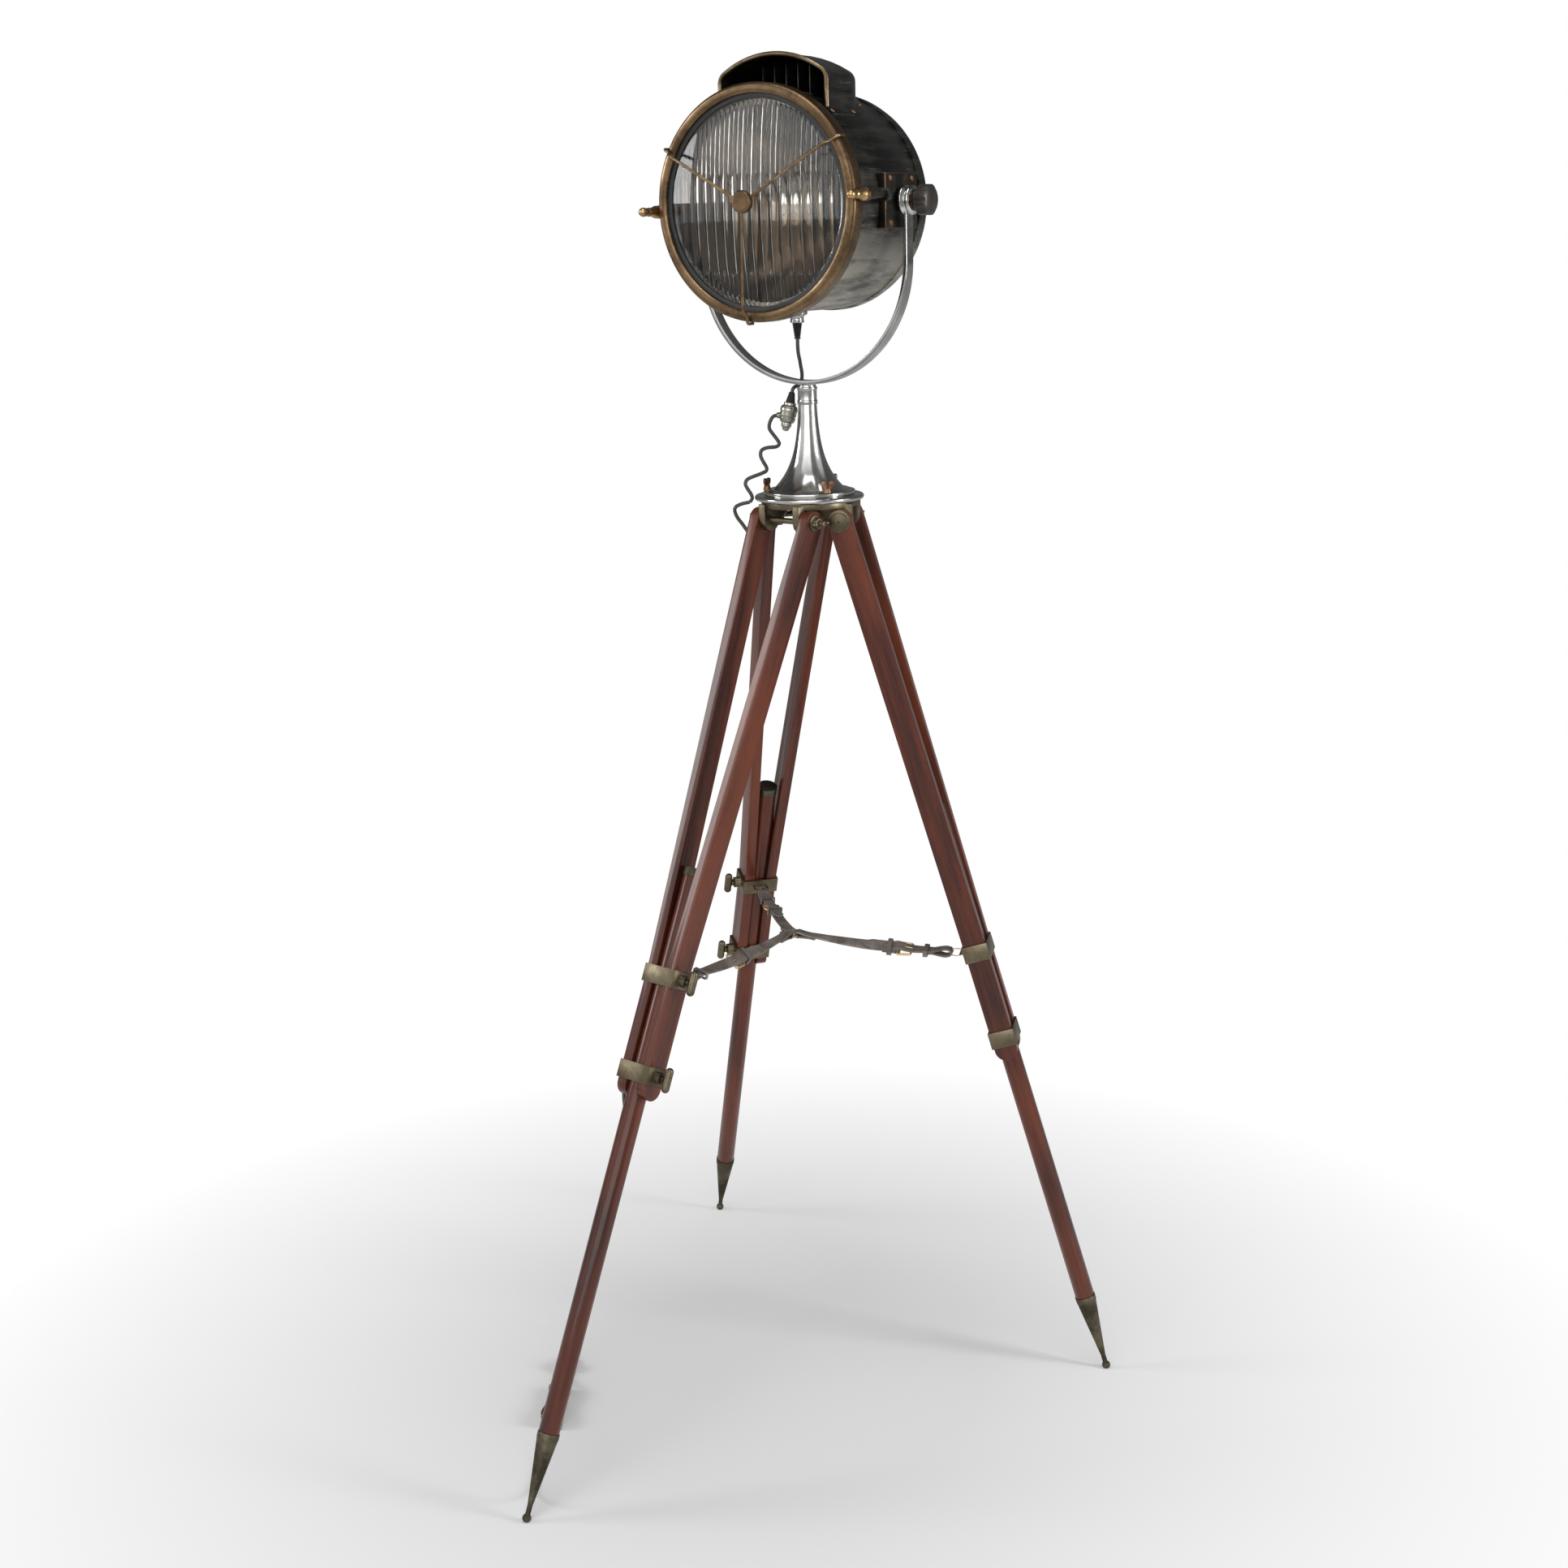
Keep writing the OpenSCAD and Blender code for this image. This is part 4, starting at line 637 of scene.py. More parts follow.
# leads, along the same points as the frame's
lead = {
    "thickness": 0.005,
    "sides": 12,
    "step": 0.0025,
    "hinges": 1.25,  # the three lists below are heights above the hinges
    "head": [  # from the gland down to the switch
        (0, -0.022, 0.2419), (0, -0.022, 0.232), (-0.001, -0.019, 0.222), (-0.004, -0.011, 0.213),
        (-0.009, -0.001, 0.205), (-0.013, 0.008, 0.197), (-0.016, 0.013, 0.188), (-0.019, 0.0135, 0.181),
        (-0.0225, 0.0105, 0.1775), (-0.0255, 0.0066, 0.175), (-0.0265, 0.005, 0.1724),
        (-0.02698, 0.00452, 0.16912)],
    "wave": [  # from the switch down to the hinge
        (-0.04408, -0.00906, 0.13799), (-0.0464, -0.0108, 0.1377), (-0.0495, -0.0134, 0.1348),
        (-0.052, -0.016, 0.127), (-0.052, -0.016, 0.12), (-0.048, -0.014, 0.113), (-0.043, -0.012, 0.106),
        (-0.04, -0.011, 0.1), (-0.043, -0.014, 0.096), (-0.053, -0.021, 0.095), (-0.059, -0.026, 0.092),
        (-0.06, -0.028, 0.085), (-0.057, -0.027, 0.077), (-0.053, -0.025, 0.069), (-0.053, -0.025, 0.064),
        (-0.058, -0.03, 0.0605), (-0.066, -0.037, 0.057), (-0.073, -0.043, 0.053), (-0.075, -0.045, 0.047),
        (-0.072, -0.044, 0.04), (-0.068, -0.042, 0.033), (-0.067, -0.041, 0.027), (-0.07, -0.043, 0.022)],
    "hinge": [  # past the hinge to the leg's rail
        (-0.07, -0.043, 0.022), (-0.079, -0.049, 0.02), (-0.086, -0.054, 0.016), (-0.087, -0.055, 0.01),
        (-0.084, -0.053, 0.001), (-0.079, -0.05, -0.007), (-0.073, -0.048, -0.016), (-0.066, -0.048, -0.024),
        (-0.063, -0.05095, -0.0302), (-0.063, -0.05193, -0.0328)],
    "leg": [  # outwards, across and down the left leg
        (-0.0033, -0.0541, 0.0347), (-0.0035, -0.0539, 0.0386), (-0.004, -0.0528, 0.06),
        (-0.004, -0.0495, 0.13), (-0.004, -0.0408, 0.33), (-0.004, -0.032, 0.53), (-0.004, -0.0288, 0.597),
        (-0.004, -0.0305, 0.626), (-0.004, -0.0305, 0.65), (-0.004, -0.0297, 0.7), (-0.004, -0.0305, 0.757),
        (-0.004, -0.0305, 0.781), (-0.0052, -0.0278, 0.802), (-0.0077, -0.0208, 0.8225),
        (-0.0107, -0.0147, 0.845), (-0.0119, -0.0117, 0.8705), (-0.0131, -0.0123, 0.95),
        (-0.0147, -0.013, 1.06), (-0.0131, -0.0124, 1.16), (-0.0127, -0.0125, 1.2355),
        (-0.0128, -0.0126, 1.262), (-0.012, -0.0118, 1.28), (-0.0138, -0.0139, 1.309)],
    "floor": [  # from the foot to the folded lead, from the column's axis
        (-0.113, -0.565, 0.025), (-0.127, -0.551, 0.008), (-0.141, -0.527, 0.003),
        (-0.153, -0.505, 0.0026), (-0.171, -0.472, 0.0026), (-0.187, -0.44, 0.0026),
        (-0.205, -0.413, 0.0026), (-0.222, -0.387, 0.0026)],
}
hank = {"origin": (-0.221, -0.386, 0), "azimuth": 120.3, "run": 0.085, "bend": 0.0125, "waist": 0.006,
        "step": 0.0056, "base": 0.0026, "loops": 3, "parts": 6}
hankPlace = (columnPlace @ Matrix.Translation(hank["origin"])
             @ Matrix.Rotation(math.radians(hank["azimuth"]), 4, "Z"))


def hankPoints():  # each loop is a run out, a bend, a run back that climbs, and a bend
    run, bend, base, parts = hank["run"], hank["bend"], hank["base"], hank["parts"]
    points = [(-0.016, -bend, base), (-0.008, -bend, base)]
    for q in range(hank["loops"] * 4 * parts + parts):
        turn, part, f = q // (4 * parts), q % (4 * parts) // parts, q % parts / parts
        climb = 0 if part < 2 else f * f * (3 - 2 * f) if part == 2 else 1
        height = base + hank["step"] * (turn + climb)
        half = bend - (bend - hank["waist"]) * math.sin(math.pi * f) ** 2
        swing = polar(bend, 180 * f - 90 if part == 1 else 180 * f + 90)
        points.append([(run * f, -half, height), (run + swing.x, swing.y, height),
                       (run * (1 - f), half, height), (swing.x, swing.y, height)][part])
    top = base + hank["step"] * hank["loops"]
    tail = [(0, -bend, top), (0.010, -bend + 0.001, top - 0.001), (0.022, -bend + 0.005, top - 0.005),
            (0.032, -bend + 0.009, top - 0.009), (0.040, -0.002, 0.009), (0.048, 0, 0.008), (0.054, 0, 0.008)]
    return points + [(run + x, y, z) for x, y, z in tail]


switch = {"top": (-0.027, 0.0045, 1.419), "bottom": (-0.035, -0.003, 1.366), "exit": (-0.044, -0.009, 1.388),
          "drop": 0.003, "boot": 0.015, "ribs": 15, "rib": 0.0005, "collar": 0.0085, "body": 0.0113,
          "ring": 0.012, "end": 0.042, "well": 0.008, "stub": 0.008, "button": 0.007, "tip": 0.004,
          "gap": 0.0003}


def placeAlong(a, b):  # z runs from a to b
    ahead = (Vector(b) - Vector(a)).normalized()
    return Matrix.Translation(a) @ ahead.to_track_quat("Z", "Y").to_matrix().to_4x4()


def makeSwitch():
    along = placeAlong(switch["top"], switch["bottom"])
    place = columnPlace @ along
    collar, body, ring, end = switch["collar"], switch["body"], switch["ring"], switch["end"]
    wide, tip, well = switch["button"], switch["tip"], end - switch["well"]
    shell = lathe("shell", softOutline([
        (0.0001, 0.0145), (collar, 0.0145), (collar, 0.0185), (body - 0.0006, 0.0192), (body, 0.0215),
        (ring, 0.0222), (ring, 0.0262), (body, 0.0270), (body - 0.0002, 0.0330), (body - 0.0014, 0.0336),
        (body - 0.0014, 0.0346), (body - 0.0002, 0.0352), (body - 0.0012, end - 0.002), (body - 0.0032, end),
        (wide + switch["gap"], end), (wide + switch["gap"], well), (0.0001, well)], 0.0008), 64)
    middle = (Vector(switch["top"]) + Vector(switch["bottom"])) / 2 - Vector((0, 0, switch["drop"]))
    line = [along.inverted() @ point for point in (middle, Vector(switch["exit"]))]
    stub = settle(bar("stub", line, switch["stub"], "wornNickel", 24))
    piece = settle(joined("switch_nickel", [shell, stub]), place, 40)
    dressed(piece, "wornNickel", "yoke", ["inline_switch"])
    count, boot = switch["ribs"], switch["boot"]
    ribs = [(0.0036 + 0.0029 * k / count + switch["rib"] * (k % 2), boot * k / count)
            for k in range(count + 1)]
    turned("switch_boot", [(0.0001, 0.0)] + ribs + [(0.0001, boot)], 48, place, 40, "blackRubber", "yoke")
    knob = softOutline([
        (0.0001, end - 0.003), (wide - 0.0002, end - 0.003), (wide, end + 0.0005), (wide, end + 0.005),
        (wide - 0.0012, end + 0.0062), (tip, end + 0.0104), (tip - 0.0022, end + 0.0114),
        (0.0001, end + 0.0116)], 0.0012)
    turned("switch_button_domed", knob, 48, place, 40, "wornNickel", "switch_button", ["switch_button"])
    return piece


def makeLead(name, points, place, nodes, bodies, ends=()):
    path = smoothed(points, lead["step"])
    piece = settle(bar(name, path, lead["thickness"], "cordBlack", lead["sides"]), place)
    dressed(piece, "cordBlack", None if ends else bodies[0], nodes)
    if ends:
        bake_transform(piece)
    world = [place @ point for point in path]
    length = round(lengthOf(world), 3)
    print(name, "is", length, "m long")


hingePlace = columnPlace @ Matrix.Translation((0, 0, lead["hinges"]))
leftLeg = columnPlace.inverted() @ legPlace("left")
legLine = [leftLeg @ Vector((out, across, -down)) for out, across, down in lead["leg"]] + lead["floor"]
switchPiece = makeSwitch()
plugPiece = rounded("plug", hankPlace, "blackRubber", 0.0012)
makeLead("lead_to_switch", lead["head"], hingePlace, ["head_lead"], ("head", "yoke"),
         (lead["head"][1], lead["head"][10]))
makeLead("lead_wave", lead["wave"], hingePlace, ["mains_lead"], ("yoke", "base"),
         ((-0.05, -0.015, 0.134), (-0.05, -0.015, 0.04)))
makeLead("lead_past_hinge", lead["hinge"], hingePlace, ["mains_lead"], ("base", "left_leg"),
         (lead["hinge"][1], lead["hinge"][9]))
makeLead("lead_down_leg", legLine, columnPlace, ["leg_lead"], ("left_leg", "left_extension"),
         (legLine[11], legLine[19]))
makeLead("lead_folded", hankPoints(), hankPlace, ["lead_hank"], ("left_extension",))
print("leads made")


# main pieces
column = {"flange": 0.063, "flangeBase": 1.282, "flangeTop": 1.288, "trumpet": 0.1165, "neck": 0.011,
          "flare": 0.040, "fade": 0.036, "collar": 0.0137, "collarTop": 1.427, "washer": 0.0028}


def makeColumn():
    base, top, neck = column["flangeBase"], column["flangeTop"], column["neck"]
    flared = newPiece("flared", [(0, 0, 0)], [])
    makeWith(flare, flared, {"Height": column["trumpet"], "Neck": neck, "Flare": column["flare"],
                             "Fade": column["fade"], "Finish": finishes["chrome"]})
    settle(flared, Matrix.Translation((0, 0, top)))
    r, foot = column["flange"], neck + column["flare"]
    flange = lathe("flange", softOutline([
        (0, base), (r, base), (r, top - 0.0006), (r - 0.004, top), (foot + 0.006, top),
        (foot + 0.004, top + 0.002), (foot - 0.001, top + 0.002), (foot - 0.0015, top - 0.001),
        (0, top - 0.001)], 0.0014))
    r, low, high, washer = column["collar"], top + column["trumpet"], column["collarTop"], column["washer"]
    collar = lathe("collar", softOutline([
        (0, low - 0.001), (r, low - 0.001), (r, low + 0.004), (r - 0.0007, low + 0.005),
        (r - 0.0007, high - 0.004), (r, high - 0.003), (r, high), (r - 0.0017, high),
        (r - 0.0017, high + washer), (0, high + washer)], 0.0007))
    piece = tidyNormals(joined("column_flared", [flared, flange, collar]))
    dressed(settle(piece, columnPlace, 50), "chrome", "base", ["column"])


plate = {"radius": 0.075, "base": 1.275, "thickness": 0.007, "inner": 0.067, "recess": 0.0008}


def makePlate():
    base, rim, inner = plate["base"], plate["thickness"] / 2, plate["inner"]
    top = base + plate["thickness"]
    low = top - plate["recess"]
    outline = [(0, base)] + arc((plate["radius"] - rim, base + rim), rim, -90, 90, 12) + [
        (inner + 0.0015, top), (inner, low), (inner - 0.002, low), (inner - 0.0035, top), (0, top)]
    turned("plate_chromed", outline, 128, columnPlace, 50, "chrome", "base", ["tripod_plate"])


yoke = {"radius": 0.159, "thickness": 0.006, "width": 0.018, "rise": 0.077, "recess": 0.0004, "edge": 0.0028,
        "slope": 0.0022, "boss": 0.0195, "bossInner": 0.1515, "bossOuter": 0.171, "stud": 0.0052,
        "spigot": 0.007, "spigotLength": 0.055, "arms": 8, "parts": 96}


def makeYoke():
    r, rise, arms = yoke["radius"], yoke["rise"], yoke["arms"]
    line = [Vector((-r, 0, -k * rise / arms)) for k in range(arms)]
    line += [Vector((x, 0, z)) for x, z in arc((0, -rise), r, 180, 360, yoke["parts"])]
    line += [Vector((r, 0, (k + 1) * rise / arms - rise)) for k in range(arms)]
    half, thick = yoke["width"] / 2, yoke["thickness"] / 2
    rim = half - yoke["edge"]
    hollow = rim - yoke["slope"], thick - yoke["recess"]
    corners = [(rim, thick), (half, thick), (half, 0)]
    corners = [(-x, y) for x, y in reversed(corners)] + [(-hollow[0], hollow[1]), hollow] + corners
    upper = softOutline(corners, 0.0009, 3)[1:]
    section = upper + [(-across, -out) for across, out in upper]
    side = Vector((0, 1, 0))
    rings = [[spot + side * across + ahead.cross(side) * out for across, out in section]
             for spot, ahead in zip(line, headings(line))]
    parts = [skinned("bar", rings)]
    inner, outer, r, stud = yoke["bossInner"], yoke["bossOuter"], yoke["boss"], yoke["stud"]
    middle = (inner + outer) / 2
    outline = smoothedOutline([
        (stud, inner), (r - 0.006, inner), (r - 0.001, inner + 0.003), (r, inner + 0.006),
        (r - 0.0015, middle - 0.002), (r - 0.0045, middle + 0.001), (r - 0.001, middle + 0.004),
        (r - 0.0015, outer - 0.003), (r - 0.006, outer), (stud, outer)])
    for turn in (-90, 90):
        boss = lathe("boss", outline)
        boss.data.transform(Matrix.Rotation(math.radians(turn), 4, "Y"))
        parts.append(boss)
    r, bottom = yoke["spigot"], -rise - yoke["radius"] - thick
    top, end = bottom + 0.002, bottom - yoke["spigotLength"]
    parts.append(lathe("spigot", [(0, top), (r, top), (r, end), (0, end)], 48))
    piece = tidyNormals(joined("yoke_bar", parts))
    dressed(settle(piece, Matrix.Translation(tiltPoint), 50), "chrome", "yoke", ["yoke"])


# lamp head
head = {"drumRadius": 0.141, "drumFront": 0.096, "bezelRadius": 0.151, "bezelBack": 0.100,
        "bezelFront": 0.123, "lensRadius": 0.134, "lensRim": 0.1115, "lensBulge": 0.012,
        "lensThickness": 0.005}
flutes = {"narrow": 0.0072, "wide": 0.0144, "narrowDepth": 0.0013, "wideDepth": 0.0020,  # pitch and depth
          "upper": 0.032, "lower": -0.088, "scallop": 0.004,  # the wide ones lie between these heights
          "edge": 0.004, "columns": 290, "rows": 84, "crowding": 0.35}


def fluteDepth(x, y):
    scallop = flutes["scallop"] * abs(math.sin(math.pi * x / flutes["narrow"]))
    kind = "narrow" if y > flutes["upper"] + scallop or y < flutes["lower"] else "wide"
    share = x / flutes[kind] % 1.0
    return flutes[kind + "Depth"] * 4 * share * (1 - share)


def makeLens():
    radius, bulge, edge = head["lensRadius"], head["lensBulge"], flutes["edge"]
    flat = radius - edge
    ball = (flat ** 2 + bulge ** 2) / (2 * bulge)
    columns, rows, crowding = flutes["columns"], flutes["rows"], flutes["crowding"]
    shares = [(k + 0.5) / (columns + 1) for k in range(columns + 1)]
    across = [(1 - crowding) * (2 * s - 1) - crowding * math.cos(math.pi * s) for s in shares]
    points = []
    for front in (True, False):
        for x in [a * radius * 0.9995 for a in across]:
            reach = math.sqrt(radius ** 2 - x * x)
            for y in [(2 * k / rows - 1) * reach for k in range(rows + 1)]:
                apart = math.hypot(x, y)
                dome = max(0, bulge - ball + math.sqrt(ball ** 2 - min(apart, flat) ** 2))
                fade = min(1, max(0, (flat - apart) / edge))
                height = head["lensRim"] + dome
                points.append((x, y, height + head["lensThickness"] if front
                               else height - fluteDepth(x, y) * fade))
    count, line = len(points) // 2, rows + 1
    faces = []
    for a in [i * line + j for i in range(columns) for j in range(rows)]:
        b = a + line
        faces += [(a, b, b + 1, a + 1), (count + a, count + a + 1, count + b + 1, count + b)]
    around = ([i * line for i in range(columns + 1)] + [columns * line + j for j in range(1, line)]
              + [i * line + rows for i in range(columns - 1, -1, -1)] + list(range(rows - 1, 0, -1)))
    faces += [(b, a, count + a, count + b) for a, b in zip(around, around[1:] + around[:1])]
    piece = tidyNormals(newPiece("lens_fluted", points, faces), 1e-7)
    dressed(settle(piece, headPlace, 60), "flutedGlass", "head", ["lens"])


mirror = {"mouth": 0.125, "hole": 0.020, "bottom": -0.040, "sheet": 0.0013, "rim": 0.1391, "steps": 40}


def makeReflector():  # a parabola: its height follows the square of its radius
    front, bottom, hole, sheet = head["drumFront"], mirror["bottom"], mirror["hole"], mirror["sheet"]
    rim, steps, spread = mirror["rim"], mirror["steps"], mirror["mouth"] ** 2 - hole ** 2
    shape = [(math.sqrt(hole ** 2 + spread * k / steps), bottom + (front - bottom) * k / steps)
             for k in range(steps + 1)]
    back = [(r + sheet, h - sheet) for r, h in reversed(shape)]
    bowl = lathe("reflector_polished", shape + [(rim, front), (rim, front - sheet)] + back, 128, True)
    dressed(settle(bowl, headPlace), "mirror", "head", ["reflector"])


bezel = {"wall": 0.0035, "lip": 0.137, "lipThickness": 0.005, "edge": 0.0008, "lug": 0.0085, "lugFoot": 0.004,
         "lugHeight": 0.008, "boltCircle": 0.1595, "turn": 2.7}


def makeBezel():
    r, back, front, lip = head["bezelRadius"], head["bezelBack"], head["bezelFront"], bezel["lip"]
    seat, bore = front - bezel["lipThickness"], r - bezel["wall"]
    outline = [
        (r, back), (r, front - 0.006), (r - 0.0006, front - 0.003), (r - 0.003, front - 0.0006),
        (r - 0.006, front), (lip + 0.004, front), (lip + 0.0012, front - 0.0008), (lip, front - 0.0028),
        (lip, seat), (bore, seat), (bore, back)]
    parts = [lathe("ring", outline, 160, True)]
    half, low, root = bezel["lug"], back + bezel["lugFoot"], r - 0.001
    shape = [(root, -half), (root, half)] + arc((bezel["boltCircle"], 0), half, 90, -90, 12)
    for side in (0, 180):
        lug = skinned("lug", [[(x, y, z) for x, y in shape] for z in (low, low + bezel["lugHeight"])])
        lug.data.transform(Matrix.Rotation(math.radians(bezel["turn"] + side), 4, "Z"))
        parts.append(lug)
    piece = softEdges(joined("bezel_ring", parts), bezel["edge"])
    dressed(settle(piece, headPlace, 50), "bezelBrass", "head", ["bezel"])


guard = {"hub": 0.0145, "hubThickness": 0.008, "up": 0.002, "front": 0.154, "spoke": 0.004, "gap": 0.0002,
         "angles": (152, 31.5, -94.5)}


def makeGuard():
    front, rim, r, lens = guard["front"], head["bezelFront"], head["bezelRadius"], head["lensRadius"]
    hook = r + guard["spoke"] / 2 + guard["gap"]
    side = [(0.004, front - 0.004), (lens - 0.004, front - 0.015), (lens + 0.002, front - 0.017),
            (r - 0.009, rim + 0.005), (r - 0.002, rim + 0.0036), (hook - 0.0005, rim + 0.001),
            (hook, rim - 0.003), (hook, rim - 0.011)]
    parts = []
    for angle in guard["angles"]:
        line = [polar(apart, angle, forward) for apart, forward in side]
        line[1:] = smoothed(line[1:], 0.002)
        parts.append(settle(bar("spoke", line, guard["spoke"], "guardBrass", 16)))
    r, back = guard["hub"], front - guard["hubThickness"]
    hub = lathe("guard_hub", smoothedOutline([
        (0.0001, back), (r - 0.0015, back), (r, back + 0.0015), (r, front - 0.0025),
        (r - 0.0012, front - 0.0006), (r - 0.004, front), (0.0001, front)]), 64)
    hub.data.transform(Matrix.Translation((0, guard["up"], 0)))
    dressed(settle(hub, headPlace, 40), "bezelBrass", "head")
    dressed(settle(joined("spoke_guard_brass", parts), headPlace, 40), "guardBrass", "head", ["spoke_guard"])


nut = {"back": 0.1123, "length": 0.038, "cup": 0.008, "ball": 0.006, "waist": 0.0046, "bore": 0.0026}


def makeThumbNuts():
    cup, ball, waist, tip = nut["cup"], nut["ball"], nut["waist"], nut["length"]
    outline = smoothedOutline([
        (nut["bore"], 0), (cup - 0.0008, 0), (cup, 0.001), (cup + 0.0002, 0.004), (cup - 0.001, 0.008),
        (cup - 0.0022, 0.014), (waist + 0.0012, 0.020), (waist, 0.0235), (waist + 0.0008, 0.0262),
        (ball - 0.0002, tip - 0.0085), (ball, tip - 0.006), (ball - 0.0012, tip - 0.0022),
        (ball - 0.0035, tip - 0.0005), (0.0001, tip)])
    for side, name in ((180, "left"), (0, "right")):
        turn = Matrix.Rotation(math.radians(bezel["turn"] + side), 4, "Z")
        place = headPlace @ turn @ Matrix.Translation((bezel["boltCircle"], 0, nut["back"]))
        name = "thumb_nut_" + name
        turned(name, outline, 64, place, 40, "brightBrass", name, ["bezel_" + name])


screws = {"flange": ((0.0875, 0.066), (0.0875, 0.013), (0.0717, -0.0302)), "onDrum": 0.14322,
          "bracket": 0.028, "bracketFace": 0.150, "small": (0.0035, 0.0020), "large": (0.0045, 0.0025)}


def screwModel(name, radius, height):  # a domed head with a slot, kept out of the picture
    dome = [polar(height, 90 - 15 * k) for k in range(7)]
    outline = [(max(0.00001, point.x * radius / height), point.y) for point in dome]
    model = lathe(name, outline + [(radius, -0.0002), (0.00001, -0.0002)], 24)
    length, width = radius * 1.2, radius * 0.15
    slot = [(-length, -width), (length, -width), (length, width), (-length, width)]
    cutter = skinned("cut", [[(x, y, z) for x, y in slot] for z in (height * 0.55, height * 1.55)])
    cut = model.modifiers.new("slot", "BOOLEAN")
    cut.object, cut.operation, cut.solver = cutter, "DIFFERENCE", "EXACT"
    graph = bpy.context.evaluated_depsgraph_get()
    model.data = bpy.data.meshes.new_from_object(model.evaluated_get(graph))
    model.modifiers.clear()
    bpy.data.objects.remove(cutter)
    model.hide_render = True
    model.location = (0, 0, -5)
    return model


def makeScrews():
    sides, apart, reach = (-1, 1), screws["onDrum"], screws["bracket"]
    onFlange = []
    for side in sides:
        for across, forward in screws["flange"]:
            spot = Vector((side * across, math.sqrt(apart ** 2 - across ** 2), 0))
            onFlange.append((spot + Vector((0, 0, forward)), spot.normalized()))
    onBracket = [(Vector((side * screws["bracketFace"], u * reach, v * reach)), Vector((side, 0, 0)))
                 for side in sides for u in sides for v in sides]
    parts = []
    for name, size, spots in (("flange_screws", "small", onFlange), ("bracket_screws", "large", onBracket)):
        model = screwModel(size + "_screw", *screws[size])
        parts.append(settle(onPoints(name, model, spots, "copperBrass"), headPlace))
        bpy.data.objects.remove(model)
    dressed(joined("head_screws_slotted", parts), "copperBrass", "head", ["head_screws"])


hood = {"half": 0.082, "top": 0.188, "crown": 0.137, "corner": 0.015, "mouth": 0.072, "rim": 0.0062,
        "rimBack": 0.0024, "inset": 0.0006, "seat": 0.003}


def makeHoodRim():  # a crown, a corner and a straight foot on each side
    inset, corner = hood["inset"], hood["corner"]
    centre = hood["top"] - hood["crown"]
    cornerX = hood["half"] - corner
    cornerY = centre + math.sqrt((hood["crown"] - corner) ** 2 - cornerX ** 2)
    turn = math.degrees(math.atan2(cornerY - centre, cornerX))
    half = arc((0, centre), hood["crown"] - inset, 90, turn, 16)
    half += arc((cornerX, cornerY), corner - inset, turn, 0)[1:]
    wide = hood["half"] - inset
    foot = math.sqrt(head["drumRadius"] ** 2 - wide ** 2) + hood["seat"]
    half += [(wide, cornerY + (foot - cornerY) * k / 3) for k in (1, 2, 3)]
    line = [(x, y, hood["mouth"] - hood["rimBack"]) for x, y in [(-x, y) for x, y in half[:0:-1]] + half]
    dressed(settle(bar("hood_rim", line, hood["rim"], "rimBronze", 14), headPlace), "rimBronze", "head")


gland = {"forward": 0.022, "drum": 0.141, "flange": 0.014, "nose": 0.009, "length": 0.015, "relief": 0.021,
         "reliefTop": 0.007, "reliefEnd": 0.004, "groove": 0.0009, "ribs": 22, "bore": 0.0026}


def makeGland():  # hangs below the drum
    downwards = Matrix.Rotation(math.radians(90), 4, "X")
    place = headPlace @ Matrix.Translation((0, 0, gland["forward"])) @ downwards
    drum, wide, nose, bore = gland["drum"], gland["flange"], gland["nose"], gland["bore"]
    end, count = drum + gland["length"], gland["ribs"]
    outline = softOutline([
        (bore, drum - 0.002), (wide, drum - 0.002), (wide, drum + 0.0035), (wide - 0.002, drum + 0.005),
        (nose + 0.0008, drum + 0.0055), (nose, drum + 0.008), (nose, end - 0.003),
        (nose + 0.0005, end - 0.0025), (nose + 0.0005, end - 0.001), (nose - 0.001, end), (bore, end)], 0.0006)
    turned("gland_chrome", outline, 72, place, 40, "chrome", "head", ["cable_gland"])
    ribs = [(bore, end)]
    for k in range(count + 1):
        radius = gland["reliefTop"] + (gland["reliefEnd"] - gland["reliefTop"]) * k / count
        groove = gland["groove"] if k % 2 and k < count - 2 else 0
        ribs.append((radius - groove, end + gland["relief"] * k / count))
    ribs.append((bore, end + gland["relief"]))
    turned("gland_relief", ribs, 48, place, 60, "blackRubber", "head")


# straps: leather from the wire triangle to an eye on each leg's band
strap = {"ring": (-0.043, -0.004, 0.646), "ringHalf": 0.010, "ringWire": 0.004, "ringCorner": 0.004,
         "eyeOut": -0.0255, "eyeDown": 0.638, "width": 0.017, "thickness": 0.0026, "outer": 0.94,
         "tip": 0.014, "sag": 0.005, "buckle": {"left": 0.5, "right": 0.66, "back": 0.62},
         "roll": {"left": -42, "right": 34, "back": 8}}
strap["lap"] = strap["thickness"] / 2 + 0.0001  # a leather's middle from the strap's, where it lies double
strap["top"] = strap["lap"] + strap["thickness"] + 0.0002
keeper = {"band": 0.0012, "half": 0.0035, "wall": 0.00108, "edge": 0.0005}
thread = {"pitch": 0.0042, "length": 0.0026, "thickness": 0.0009}
buckle = {"half": 0.010, "wire": 0.0034, "corner": 0.0025, "gap": 0.0012, "prong": 0.0019}
link = {"back": 0.0065, "radius": 0.0098, "swing": 0.0040, "wire": 0.0016, "parts": 40}


